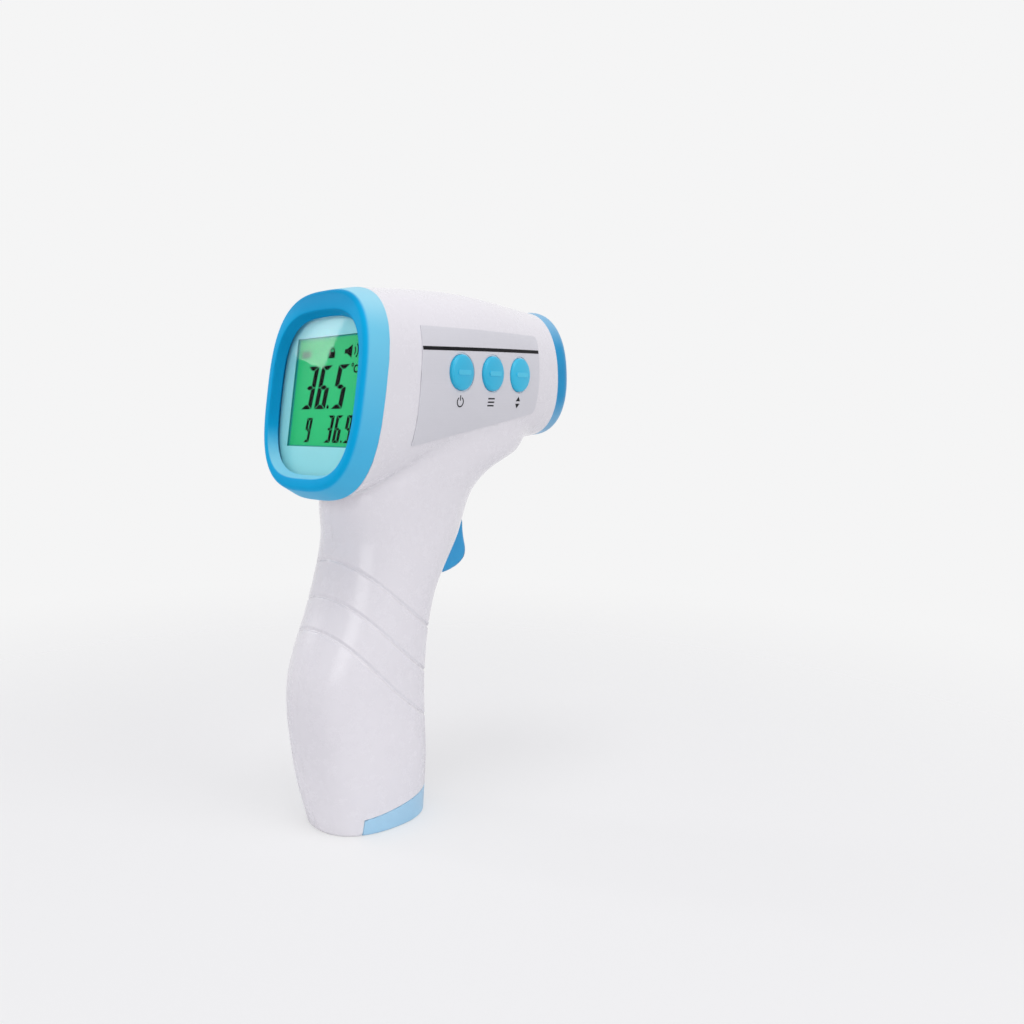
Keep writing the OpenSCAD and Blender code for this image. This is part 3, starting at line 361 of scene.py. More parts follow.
def smooth_housing():
    """The whole housing as one closed solid on an even grid, which runs on past both mouths."""
    handle = [
        oval_ring(
            UPRIGHT, z, through(HANDLE_HEIGHTS, HANDLE_MIDDLES, z),
            through(HANDLE_HEIGHTS, HANDLE_DEPTHS, z) / 2, through(HANDLE_HEIGHTS, HANDLE_WIDTHS, z) / 2,
            HANDLE_POWER)
        for z in np.linspace(0, HANDLE_TOP, HANDLE_RINGS)
    ]
    barrel = [
        oval_ring(
            frame_at((BARREL_X + BARREL_LEN * t, 0, through(BARREL_PLACES, BARREL_MIDDLES, t)),
                     DISPLAY_LEAN - (DISPLAY_LEAN + NOSE_LEAN) * t),
            0, 0, through(BARREL_PLACES, BARREL_HEIGHTS, t) / 2, through(BARREL_PLACES, BARREL_WIDTHS, t) / 2,
            HEAD_POWER - (HEAD_POWER - NOSE_POWER) * min(max(t, 0), 1))
        for t in np.linspace(-BARREL_PAST, 1 + BARREL_PAST, BARREL_RINGS)
    ]
    both = lofted(handle, False)
    both.from_mesh(mesh_from(lofted(barrel, False), "barrel_form"))
    piece = scratch_object("housing_form", mesh_from(both, "housing_form"))
    even = piece.modifiers.new("even", "REMESH")
    even.mode = "VOXEL"
    even.voxel_size = GRID * MM
    bm = bmesh.new()
    bm.from_mesh(finished(piece))
    for reach in FINE_REACHES:
        edges = near_faces(
            bm, lambda p: (groove_distance(p) < reach) & (p[:, 2] < NECK_Z) | (p[:, 2] < reach))
        bmesh.ops.subdivide_edges(bm, edges=edges, cuts=1, use_grid_fill=True)
        bmesh.ops.triangulate(bm, faces=[f for f in bm.faces if len(f.verts) > 4])
    p = places_of(bm)
    t = barrel_station(p[:, 0], p[:, 2])[0]
    between = (t > -SKIN_PAST) & (t < 1 + SKIN_PAST)
    skin = (np.abs(form_gap(p, 0)) < SKIN_NEAR) & between | (p[:, 2] < NECK_Z)
    p[skin] = drawn_to_skin(p[skin], 0)
    moved(bm, p)
    bmesh.ops.triangulate(bm, faces=bm.faces[:])
    return mesh_from(bm, "smooth_housing")


def skinned_mesh(bm, name, lift=0.0):
    """The mesh of a bmesh, with the skin's own normals on the faces that lie lift mm above the skin."""
    bm.normal_update()
    normal = skin_slope(places_of(bm))[0]
    middles = np.array([f.calc_center_median() for f in bm.faces]) / MM
    facing = np.array([f.normal for f in bm.faces])
    along = (skin_slope(middles)[0] * facing).sum(axis=1) > SKIN_FACING
    on_skin = along & (np.abs(skin_gap(middles) - lift) < SKIN_TOUCH)
    loop_normals = []
    for f, skin in zip(bm.faces, on_skin):
        for v in f.verts:
            loop_normals.append(tuple(normal[v.index]) if skin else (0.0, 0.0, 0.0))
    mesh = mesh_from(bm, name)
    mesh.normals_split_custom_set(loop_normals)
    return mesh


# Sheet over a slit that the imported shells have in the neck's front wall, above the trigger:
# its box in mm, and how far it reaches outside and inside the skin
SHEET_REAR = 26.0
SHEET_LOW = 88.4
SHEET_TOP = 101.0
SHEET_HALF = 12.5
SHEET_OUT = 0.6
SHEET_IN = 0.6


def neck_sheet(whole, side):
    """A thin wall along the front skin of the neck, in one half of the housing."""
    bm = bmesh.new()
    bm.from_mesh(whole)
    cuts = ((0, SHEET_REAR, -1), (2, SHEET_LOW, -1), (2, SHEET_TOP, 1), (1, side * SHEET_HALF, side),
            (1, side * SEAM_GAP, -side))
    for axis, limit, way in cuts:
        direction = Vector()
        direction[axis] = way
        geom = bm.verts[:] + bm.edges[:] + bm.faces[:]
        bmesh.ops.bisect_plane(bm, geom=geom, plane_co=direction * way * limit * MM, plane_no=direction,
                               clear_outer=True)
    moved(bm, drawn_to_skin(places_of(bm), SHEET_OUT))
    deep = extruded(bm, bm.faces[:])
    for v, place in zip(deep, drawn_to_skin(np.array([v.co for v in deep]) / MM, -SHEET_IN)):
        v.co = Vector(place) * MM
    bmesh.ops.triangulate(bm, faces=bm.faces[:])
    bmesh.ops.recalc_face_normals(bm, faces=bm.faces[:])
    return mesh_from(bm, "neck_sheet")


def combined(mesh, operation, other):
    """A closed mesh joined with another or cut by it."""
    piece, tool = scratch_object("piece", mesh), scratch_object("tool", other)
    change = piece.modifiers.new(operation, "BOOLEAN")
    change.operation = operation
    change.solver = "MANIFOLD"
    change.object = tool
    result = finished(piece)
    bpy.data.objects.remove(tool)
    return result


def housing_mesh(node, name, whole, side=0):
    """A part of the housing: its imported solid, grown outwards and cut back to the smooth skin.

    Side is -1 for the right half, 1 for the left half and 0 for the door.
    """
    bm = copy_of(node)
    p = places_of(bm)
    outer = np.abs(form_gap(p, 0) + GROOVE_T / 2) < GROOVE_T / 2 + FORM_NEAR
    p[outer] = drawn_to_skin(p[outer], FORM_GROWTH)
    p[np.abs(p[:, 1]) < SEAM_NEAR, 1] = side * SEAM_GAP
    moved(bm, p)
    merged(bm, FORM_MERGE)
    form = mesh_from(bm, name + "_form")
    if side:
        form = combined(form, "UNION", neck_sheet(whole, side))
    bm = bmesh.new()
    bm.from_mesh(combined(form, "INTERSECT", whole))
    merged(bm)
    return skinned_mesh(bm, name)


# Finishes

class Signal:
    """One output of a node; its operators add Math nodes to the same finish."""

    def __init__(self, finish, socket):
        self.finish = finish
        self.socket = socket

    def math(self, operation, *terms):
        values = dict(enumerate(terms))
        return self.finish.add("ShaderNodeMath", {"operation": operation}, values)["Value"]

    def __add__(self, other):
        return self.math("ADD", self, other)

    def __radd__(self, other):
        return self.math("ADD", other, self)

    def __sub__(self, other):
        return self.math("SUBTRACT", self, other)

    def __rsub__(self, other):
        return self.math("SUBTRACT", other, self)

    def __mul__(self, other):
        return self.math("MULTIPLY", self, other)

    def __rmul__(self, other):
        return self.math("MULTIPLY", other, self)

    def __truediv__(self, other):
        return self.math("DIVIDE", self, other)

    def __pow__(self, other):
        return self.math("POWER", self, other)

    def __lt__(self, other):
        return self.math("LESS_THAN", self, other)

    def __gt__(self, other):
        return self.math("GREATER_THAN", self, other)

    def __abs__(self):
        return self.math("ABSOLUTE", self)

    def either(self, other):
        """The larger of two values."""
        return self.math("MAXIMUM", self, other)


class Finish:
    """A material, or the room, whose nodes all come from one method."""

    def __init__(self, name, store=bpy.data.materials):
        self.material = store.new(name)
        self.material.use_nodes = True
        self.tree = self.material.node_tree
        self.tree.nodes.clear()

    def add(self, kind, settings=None, sockets=None):
        """Adds a node with its settings and its sockets' values or links; gives its outputs by name."""
        node = self.tree.nodes.new(kind)
        for key, value in (settings or {}).items():
            setattr(node, key, value)
        for key, value in (sockets or {}).items():
            socket = node.inputs[key] if isinstance(key, int) else next(
                s for s in node.inputs if s.enabled and s.name == key)
            if isinstance(value, Signal):
                self.tree.links.new(value.socket, socket)
            else:
                socket.default_value = value
        return {s.name: Signal(self, s) for s in node.outputs if s.enabled}

    def place(self):
        """Object coordinates in metres."""
        return self.add("ShaderNodeTexCoord")["Object"]

    def axes(self):
        """Object coordinates as three values."""
        parts = self.add("ShaderNodeSeparateXYZ", None, {"Vector": self.place()})
        return parts["X"], parts["Y"], parts["Z"]

    def display_place(self):
        """Depth behind the display's joint and height up its face, in metres."""
        x, _, z = self.axes()
        lean = math.radians(DISPLAY_LEAN)
        back, rise = x - BARREL_X * MM, z - float(BARREL_MIDDLES[0]) * MM
        return back * math.cos(lean) - rise * math.sin(lean), back * math.sin(lean) + rise * math.cos(lean)

    def noise(self, scale, detail=2.0, roughness=0.5):
        """Cloudy pattern from 0 to 1; scale is in cells a metre."""
        return self.add("ShaderNodeTexNoise", None, {
            "Vector": self.place(), "Scale": scale, "Detail": detail, "Roughness": roughness})["Fac"]

    def mix(self, share, first, second):
        """Colour between two colours."""
        return self.add("ShaderNodeMix", {"data_type": "RGBA"}, {
            "Factor": share, "A": rgba(first), "B": rgba(second)})["Result"]

    def ramp(self, value, low, high):
        """Value from 0 at low to 1 at high, smooth at both ends."""
        return self.add("ShaderNodeMapRange", {"interpolation_type": "SMOOTHSTEP"}, {
            "Value": value, "From Min": low, "From Max": high})["Result"]

    def bump(self, height, strength, depth):
        """Normal of a surface with a relief of that depth in metres."""
        return self.add("ShaderNodeBump", None, {
            "Strength": strength, "Distance": depth, "Height": height})["Normal"]

    def surface(self, **sockets):
        """The main shader and the output, with short names for the shader's sockets."""
        names = {
            "colour": "Base Color", "rough": "Roughness", "metal": "Metallic", "normal": "Normal",
            "coat": "Coat Weight", "coat_rough": "Coat Roughness", "glow": "Emission Color",
            "glow_strength": "Emission Strength", "shine": "Specular IOR Level",
        }
        values = {names[k]: rgba(v) for k, v in sockets.items()}
        self.show(self.add("ShaderNodeBsdfPrincipled", None, values)["BSDF"])
        return self.material

    def show(self, shader, output="ShaderNodeOutputMaterial"):
        """Joins a shader to the output."""
        self.add(output, None, {"Surface": shader})


def rgba(value):
    """A colour of three numbers gets its alpha; anything else stays."""
    return (*value, 1.0) if isinstance(value, tuple) and len(value) == 3 else value


def moulded(name, colour, shade, rough, coat=0.2, shine=0.5, grain=0.35, painted_light=None):
    """Moulded plastic: faint clouding, a fine eroded texture and a thin gloss; its last argument gives tones
    of painted light and shade laid over it.
    """
    f = Finish(name)
    cloud = f.noise(45.0, 3.0)
    flow = f.noise(190.0, 4.0, 0.6)
    fine = f.noise(3600.0, 2.0)
    hue = f.mix(f.ramp(cloud * 0.7 + flow * 0.3, 0.3, 0.7), colour, shade)
    # Painted light and shade, laid over the plastic's own colour
    for share, tone in painted_light(f) if painted_light else ():
        hue = f.mix(share, hue, tone)
    return f.surface(
        colour=hue, rough=rough + (flow - 0.5) * 0.08 + (fine - 0.5) * 0.04, coat=coat, coat_rough=0.12,
        shine=shine, normal=f.bump(fine * 0.7 + flow * 0.3, grain * 0.12, 0.06 * MM))


def bezel_painted_light(f):
    """Painted shade as a deeper blue on a bezel's upper face; painted light as paler blue round its outer
    sides, with a painted highlight up their upper part; inside its opening, painted shade above and a painted
    highlight low down.
    """
    y = f.axes()[1]
    depth, height = f.display_place()
    flank = f.ramp(abs(y), 16 * MM, 22 * MM)
    behind = f.ramp(depth, (BEZEL_EDGE * 0.3 - BEZEL_DEPTH) * MM, (BEZEL_EDGE - BEZEL_DEPTH) * MM)
    across = (abs(y) / ((WINDOW_W / 2 + LIP_FLARE) * MM)) ** WINDOW_POWER
    upward = (abs(height + WINDOW_DROP * MM) / ((WINDOW_H / 2 + LIP_FLARE) * MM)) ** WINDOW_POWER
    recess = 1.0 + (depth > (WINDOW_FRONT - 0.01) * MM) * 0.4
    inside = 1.0 - f.ramp(across + upward - recess, 0.0, 0.06)
    outside = behind * (1.0 - inside)
    # Each pair is a painted tone and its colour: shade on the upper face, light round the outer sides, a
    # highlight at their top, shade high inside the opening and a highlight low inside it
    return [
        (f.ramp(height, 18 * MM, 27 * MM) * (1.0 - flank) * (1.0 - behind) * 0.85, (0.002, 0.300, 0.600)),
        (outside * (0.45 + f.ramp(height, -20 * MM, 18 * MM) * 0.55), (0.185, 0.630, 0.850)),
        (outside * f.ramp(height, 14 * MM, 24 * MM) * 0.8, (0.400, 0.760, 0.890)),
        (inside * f.ramp(height, -15 * MM, -3 * MM), (0.002, 0.330, 0.660)),
        (inside * (1.0 - f.ramp(height, -19 * MM, -8 * MM)), (0.260, 0.700, 0.900)),
    ]


def mask_painted_shade(f):
    """Painted shade: the wall of the opening in front of the display's glass darkened, as it stands in shade.
    """
    depth = f.display_place()[0]
    return [(f.ramp(depth, (HOLDER_FRONT + 0.03) * MM, (HOLDER_FRONT + 0.15) * MM), (0.012, 0.300, 0.340))]


def nose_painted_light(f):
    """Painted light: paler ends of the nose ring, above and below its middle."""
    up = abs(f.axes()[2] - float(BARREL_MIDDLES[2]) * MM)
    return [(f.ramp(up, 6 * MM, 16 * MM) * 0.85, (0.230, 0.520, 0.760))]


def metal(name, colour, rough, streak):
    """Plated metal with fine drawn streaks and a few dull spots."""
    f = Finish(name)
    x, _, z = f.axes()
    lines = f.add("ShaderNodeTexNoise", {"noise_dimensions": "1D"}, {
        "W": (x + z) * streak, "Scale": 1.0, "Detail": 3.0})["Fac"]
    spots = f.noise(900.0, 3.0)
    dull = f.ramp(spots, 0.52, 0.75)
    return f.surface(
        colour=f.mix(dull, colour, tuple(c * 0.7 for c in colour)), metal=1.0,
        rough=rough + (lines - 0.5) * 0.18 + dull * 0.15,
        normal=f.bump(lines, 0.15, 0.02 * MM))


def circuit_board(name):
    """Solder resist over copper tracks."""
    f = Finish(name)
    tracks = f.add("ShaderNodeTexBrick", {"offset": 0.37, "squash": 0.7}, {
        "Vector": f.place(), "Scale": 210.0, "Mortar Size": 0.035, "Mortar Smooth": 0.2})["Fac"]
    haze = f.noise(700.0, 3.0)
    return f.surface(
        colour=f.mix(tracks * 0.55 + haze * 0.15, (0.012, 0.10, 0.045), (0.05, 0.24, 0.10)),
        rough=0.34 + haze * 0.14, coat=0.3, coat_rough=0.2,
        normal=f.bump(tracks, 0.4, 0.04 * MM))


def matt(name, colour, rough, grain_scale, depth, shine=0.5):
    """Plain matt surface with a visible grain."""
    f = Finish(name)
    grain = f.noise(grain_scale, 3.0)
    wide = f.noise(120.0, 2.0)
    return f.surface(
        colour=f.mix(f.ramp(wide * 0.6 + grain * 0.4, 0.3, 0.75), colour, tuple(c * 0.8 for c in colour)),
        rough=rough + (grain - 0.5) * 0.16, shine=shine,
        normal=f.bump(grain, 0.25, depth * MM))


def clear_pane(name):
    """Clear acrylic: what is behind it, with a share of the room mirrored in it."""
    f = Finish(name)
    swirl = f.noise(160.0, 2.0)
    gloss = f.add("ShaderNodeBsdfGlossy", None, {
        "Color": (1, 1, 1, 1), "Roughness": 0.018 + swirl * 0.012})["BSDF"]
    clear = f.add("ShaderNodeBsdfTransparent", None, {"Color": (0.985, 0.995, 0.995, 1)})["BSDF"]
    share = 0.006 + swirl * 0.004
    f.show(f.add("ShaderNodeMixShader", None, {0: share, 1: clear, 2: gloss})["Shader"])
    return f.material


def lcd_glass(name):
    """Backlit display: green, darker towards its sides, with a painted shadow line round its opening where
    the mask's edge shades it.
    """
    f = Finish(name)
    out = abs(f.axes()[1])
    up = abs(f.display_place()[1] - LCD_UP * MM)
    side = f.ramp(out, 6 * MM, 16.5 * MM)
    ends = f.ramp(up, 8 * MM, 18.5 * MM)
    cloud = f.noise(90.0, 2.0)
    cells = f.add("ShaderNodeTexChecker", None, {"Vector": f.place(), "Scale": 2600.0})["Fac"]
    green = f.mix(side * 0.22 + ends * 0.25 + cloud * 0.12, (0.014, 0.430, 0.145), (0.007, 0.290, 0.100))
    # Painted shadow of the mask's edge: a dark line round the opening
    across = f.ramp(out, (LCD_W / 2 - 0.8) * MM, (LCD_W / 2 - 0.2) * MM)
    line = across.either(f.ramp(up, (LCD_H / 2 - 0.6) * MM, (LCD_H / 2 - 0.1) * MM))
    hue = f.mix(line * 0.85, green, (0.004, 0.200, 0.200))
    return f.surface(
        colour=hue, glow=hue, glow_strength=0.45, rough=0.30 + cells * 0.04, shine=0.05,
        normal=f.bump(cells, 0.05, 0.01 * MM))


def label_film(name):
    """Printed polyester film: silver grey, faintly brushed."""
    f = Finish(name)
    x, _, z = f.axes()
    brushed = f.add("ShaderNodeTexNoise", {"noise_dimensions": "2D"}, {
        "Vector": f.add("ShaderNodeCombineXYZ", None, {"X": x * 40.0, "Y": z * 5200.0})["Vector"],
        "Scale": 1.0, "Detail": 2.0})["Fac"]
    cloud = f.noise(60.0, 3.0)
    return f.surface(
        colour=f.mix(cloud * 0.6 + brushed * 0.3, (0.75, 0.75, 0.785), (0.66, 0.66, 0.70)),
        rough=0.34 + (brushed - 0.5) * 0.12, coat=0.15, coat_rough=0.2,
        normal=f.bump(brushed, 0.06, 0.01 * MM))


# Heights of the cells' bare ends and of the pale band on their wraps, in mm
CELL_WRAP = (13.0, 55.3)
CELL_BAND = (44.4, 54.9)


def cell_wrap(name):
    """Printed wrap of a cell: blue with a pale band at one end and bare caps."""
    f = Finish(name)
    z = f.axes()[2]
    band = (z > CELL_BAND[0] * MM) * (z < CELL_BAND[1] * MM)
    scuff = f.ramp(f.noise(500.0, 4.0), 0.55, 0.8)
    cap = (z > CELL_WRAP[1] * MM) + (z < CELL_WRAP[0] * MM)
    base = f.mix(band, (0.03, 0.12, 0.42), (0.62, 0.64, 0.66))
    worn = f.mix(scuff * 0.25, base, (0.5, 0.5, 0.52))
    return f.surface(
        colour=f.mix(cap, worn, (0.6, 0.6, 0.61)), metal=cap * 0.9, rough=0.3 + scuff * 0.2, coat=0.2)


WHITE = moulded("white_abs", (0.850, 0.835, 0.865), (0.838, 0.822, 0.854), 0.27, 0.3, 0.5, 0.08)
# The nose ring's and the bezel's blues carry painted light and shade; the mask's cyan below carries a painted
# shade
BLUE = moulded("blue_abs", (0.004, 0.330, 0.640), (0.003, 0.290, 0.590), 0.34, 0.05, 0.25, painted_light=nose_painted_light)
BEZEL_BLUE = moulded(
    "bezel_blue", (0.003, 0.460, 0.850), (0.002, 0.410, 0.790), 0.42, 0.0, 0.06, painted_light=bezel_painted_light)
BUTTON_BLUE = moulded("button_blue", (0.030, 0.550, 0.820), (0.022, 0.490, 0.760), 0.36, 0.1, 0.4)
BAR_BLUE = moulded("button_bar", (0.070, 0.620, 0.860), (0.060, 0.570, 0.820), 0.36, 0.1, 0.4)
TRIGGER_BLUE = moulded("trigger_blue", (0.018, 0.370, 0.730), (0.012, 0.320, 0.660), 0.34, 0.1, 0.4)
DOOR_BLUE = moulded("door_blue", (0.430, 0.715, 0.920), (0.390, 0.660, 0.860), 0.34, 0.2)
CYAN = moulded("cyan_mask", (0.380, 0.920, 0.960), (0.350, 0.880, 0.920), 0.45, 0.0, 0.3, 0.2, mask_painted_shade)
BLACK = matt("black_plastic", (0.012, 0.012, 0.014), 0.48, 2600.0, 0.05)
GREY = matt("grey_plastic", (0.42, 0.43, 0.45), 0.5, 2400.0, 0.05)
RUBBER = matt("contact_rubber", (0.42, 0.12, 0.17), 0.7, 1800.0, 0.06)
SHEATH = matt("lead_sheath", (0.34, 0.35, 0.37), 0.55, 1500.0, 0.05)
MILKY = matt("milky_diffuser", (0.82, 0.85, 0.76), 0.5, 900.0, 0.03)
STEEL = metal("plated_steel", (0.60, 0.60, 0.61), 0.28, 9000.0)
CAN = metal("sensor_can", (0.66, 0.64, 0.58), 0.22, 14000.0)
FILTER = metal("infrared_filter", (0.09, 0.06, 0.13), 0.12, 3000.0)
BOARD = circuit_board("circuit_board")
PANE = clear_pane("clear_window")
LCD = lcd_glass("display_glass")
INK = matt("display_ink", (0.003, 0.005, 0.004), 0.35, 3000.0, 0.01, 0.0)
FAINT = matt("display_faint", (0.020, 0.240, 0.090), 0.35, 3000.0, 0.01, 0.0)
PRINT = matt("label_print", (0.008, 0.008, 0.010), 0.42, 2800.0, 0.01, 0.08)
FILM = label_film("label_film")
WRAP = cell_wrap("cell_wrap")

FINISHES = [
    (CYAN, "lcd_holder"),
    (PANE, "display_window"),
    (LCD, "lcd_panel"),
    (MILKY, "backlight"),
    (RUBBER, "contact_strips"),
    (BOARD, "main_board sensor_board switch_board key_board"),
    (BLACK, "controller_chip buzzer sensor_holder trigger_switch key_switches battery_holder trigger_plunger "
            "rear_plunger middle_plunger front_plunger"),
    (GREY, "trigger_bracket"),
    (STEEL, "board_screws sensor_screws trigger_pin trigger_spring door_pin door_contact battery_spring "
            "battery_plate case_screws"),
    (CAN, "sensor_can"),
    (FILTER, "sensor_window"),
    (WRAP, "left_battery right_battery"),
    (SHEATH, "battery_leads sensor_lead key_lead trigger_lead"),
    (BEZEL_BLUE, "lcd_bezel"),
    (BLUE, "nose_ring"),
    (BUTTON_BLUE, "rear_button middle_button front_button"),
    (TRIGGER_BLUE, "trigger"),
    (DOOR_BLUE, "battery_door"),
    (WHITE, "right_shell left_shell"),
    (FILM, "side_label"),
]
for finish, names in FINISHES:
    for node in names.split():
        mesh = nodes[node].data
        mesh.materials.clear()
        mesh.materials.append(finish)

# Housing, label, bezel, nose and trigger

whole = smooth_housing()
for node, name, side in (("right_shell", "housing_right", -1), ("left_shell", "housing_left", 1)):
    new_piece(name, housing_mesh(node, name, whole, side), "body", "white_plastic", WHITE, node)
new_piece("foot_door", housing_mesh("battery_door", "foot_door", whole), "battery_door", "pale_blue_plastic",
          DOOR_BLUE, "battery_door")


def label_mesh():
    """The side label, laid on the housing's smooth skin."""
    bm = copy_of("side_label")
    for _ in range(3):
        long_edges = [e for e in bm.edges if e.calc_length() > LABEL_GRID * MM]
        bmesh.ops.subdivide_edges(bm, edges=long_edges, cuts=1, use_grid_fill=True)
    bmesh.ops.triangulate(bm, faces=bm.faces[:])
    p = places_of(bm)
    upper = form_gap(p, 0) > LABEL_T / 2
    p[upper] = drawn_to_skin(p[upper], LABEL_T)
    p[~upper] = drawn_to_skin(p[~upper], LABEL_LIFT)
    moved(bm, p)
    return skinned_mesh(bm, "flank_label", LABEL_T)


new_piece("flank_label", label_mesh(), "body", "label_film", FILM, "side_label")


def bezel_mesh():
    """The display bezel, round its closed section."""
    half_h, half_w = BARREL_HEIGHTS[0] / 2, BARREL_WIDTHS[0] / 2
    face = BEZEL_DEPTH - 0.02

    def outer(x, inset):
        return oval_ring(AT_DISPLAY, x, 0, half_h - inset, half_w - inset, HEAD_POWER)

    def opening(x, grow):
        return oval_ring(AT_DISPLAY, x, -WINDOW_DROP, WINDOW_H / 2 + grow, WINDOW_W / 2 + grow, WINDOW_POWER)

    turn = [math.radians(a) for a in range(70, -1, -10)]
    rings = [outer(0, SKIRT_IN), outer(0, 0.2), outer(-0.06, 0.06), outer(-0.2, 0.06)]
    rings += [
        outer(-face + BEZEL_EDGE * (1 - math.cos(a)), BEZEL_DRAFT + BEZEL_EDGE * (1 - math.sin(a)))
        for a in turn
    ]
    rings += [
        opening(-face, LIP_FLARE + 0.5), opening(-face + 0.06, LIP_FLARE + 0.2),
        opening(-face + 0.22, LIP_FLARE + 0.01), opening(-face + 0.5, LIP_FLARE - 0.16),
        opening(WINDOW_FRONT - 0.05, 0.05), opening(WINDOW_FRONT, 0),
        opening(WINDOW_FRONT, WINDOW_LAP), opening(WINDOW_BACK, WINDOW_LAP),
        outer(WINDOW_BACK, SKIRT_IN + SKIRT_T), outer(SKIRT_LEN, SKIRT_IN + SKIRT_T),
        outer(SKIRT_LEN, SKIRT_IN + 0.4), outer(0, SKIRT_IN),
    ]
    return mesh_from(lofted(rings, True), "display_bezel", 40)


new_piece("display_bezel", bezel_mesh(), "body", "blue_plastic", BEZEL_BLUE, "lcd_bezel")


def nose_mesh():
    """The nose ring with its measuring port."""
    half_h, half_w = BARREL_HEIGHTS[2] / 2, BARREL_WIDTHS[2] / 2

    def outer(x, inset):
        return oval_ring(AT_NOSE, x, 0, half_h - inset, half_w - inset, NOSE_POWER)

    def bore(x, r):
        return oval_ring(AT_NOSE, x, 0, r, r, 2)

    turn = [math.radians(a) for a in range(90, -1, -10)]
    rings = [outer(0, SKIRT_IN), outer(0, 0.15), outer(0.15, 0)]
    rings += [outer(RING_LEN - RING_EDGE * (1 - math.cos(a)), RING_EDGE * (1 - math.sin(a))) for a in turn]
    rings += [
        bore(RING_LEN, PORT_R + 1.2), bore(RING_LEN - 0.1, PORT_R + 0.5), bore(RING_LEN - 0.5, PORT_R + 0.08),
        bore(RING_LEN - 0.9, PORT_R), bore(RING_PLATE, PORT_R),
        outer(RING_PLATE, SKIRT_IN + SKIRT_T), outer(-NOSE_SKIRT, SKIRT_IN + SKIRT_T),
        outer(-NOSE_SKIRT, SKIRT_IN), outer(0, SKIRT_IN),
    ]
    return mesh_from(lofted(rings, True), "nose_cap", 40)


new_piece("nose_cap", nose_mesh(), "body", "blue_plastic", BLUE, "nose_ring")

# Trigger, in mm; its rear is measured from the pivot
TRIGGER_HALF = 6.0
TRIGGER_ROUND = 1.6
TRIGGER_REAR = -6.4
PIVOT = Vector((28.3976, 0, 91.0))
EYE_R = 3.2
EYE_CLEAR = 0.3


def trigger_mesh():
    """The trigger, its finger side rounded over to both flanks."""
    bm = copy_of("trigger")
    bmesh.ops.dissolve_limit(bm, angle_limit=math.radians(1), verts=bm.verts[:], edges=bm.edges[:])
    rim = []
    for e in bm.edges:
        ends = [v.co / MM - PIVOT for v in e.verts]
        flank = all(abs(abs(end.y) - TRIGGER_HALF) < 0.01 for end in ends)
        clear = all(end.x > TRIGGER_REAR and math.hypot(end.x, end.z) > EYE_R + EYE_CLEAR for end in ends)
        if flank and clear:
            rim.append(e)
    bmesh.ops.bevel(
        bm, geom=rim, offset=TRIGGER_ROUND * MM, offset_type="OFFSET", segments=6, profile=0.5,
        affect="EDGES", clamp_overlap=False, material=-1)
    bmesh.ops.triangulate(bm, faces=[f for f in bm.faces if len(f.verts) > 4])
    return mesh_from(bm, "finger_trigger", 35)


new_piece("finger_trigger", trigger_mesh(), "trigger", "blue_plastic", TRIGGER_BLUE, "trigger")


# Display: seven-segment digits and signs of the liquid crystal, as thin films on the glass

INK_T = 0.04
INK_LIFT = 0.02
SLANT = math.tan(math.radians(8.5))
SEGMENTS = {"3": "abgcd", "5": "afgcd", "6": "afgedc", "9": "abfgcd"}


def film(bm, outline):
    """Adds a thin plate with its outline in mm to the right and up on the display."""
    corners = [bm.verts.new(AT_DISPLAY @ Vector((LCD_FRONT - INK_LIFT, -u, v)) * MM) for u, v in outline]
    push = AT_DISPLAY.to_3x3() @ Vector((-INK_T * MM, 0, 0))
    bmesh.ops.translate(bm, verts=extruded(bm, [bm.faces.new(corners)]), vec=push)


def segment(letter, w, h, bar, post):
    """Outline of one segment of a digit w wide and h tall, with level and upright strokes of two widths."""
    gap = 0.12 * bar
    half = h / 2
    if letter in "ad":
        outline = [(2 * gap, h), (w - 2 * gap, h), (w - post - gap, h - bar), (post + gap, h - bar)]
    elif letter == "g":
        ends = (post / 2 + gap, w - post / 2 - gap)
        sides = (post + gap, w - post - gap)
        outline = [(ends[0], half), (sides[0], half + bar / 2), (sides[1], half + bar / 2),
                   (ends[1], half), (sides[1], half - bar / 2), (sides[0], half - bar / 2)]
    else:
        outline = [(0, half + gap), (0, h - gap), (post, h - bar - gap), (post, half + bar / 2 + gap),
                   (post / 2, half + gap)]
    if letter in "bc":
        outline = [(w - u, v) for u, v in outline]
    if letter in "cde":
        outline = [(u, h - v) for u, v in outline]
    return outline


def digit(bm, figure, left, low, w, h, bar, post):
    """Adds the segments of one slanted digit."""
    for letter in SEGMENTS[figure]:
        film(bm, [(left + u + v * SLANT, low + v) for u, v in segment(letter, w, h, bar, post)])


def disc(u, v, r, count=20):
    """Outline of a small disc."""
    return [(u + r * math.cos(2 * math.pi * k / count), v + r * math.sin(2 * math.pi * k / count))
            for k in range(count)]


def arc(bm, u, v, r, t, start, end, count=14):
    """Adds a curved stroke as a row of plates."""
    for k in range(count):
        a, b = (math.radians(start + (end - start) * (k + s) / count) for s in (0, 1))
        film(bm, [(u + rad * math.cos(x), v + rad * math.sin(x))
                  for rad, x in ((r - t / 2, a), (r + t / 2, a), (r + t / 2, b), (r - t / 2, b))])


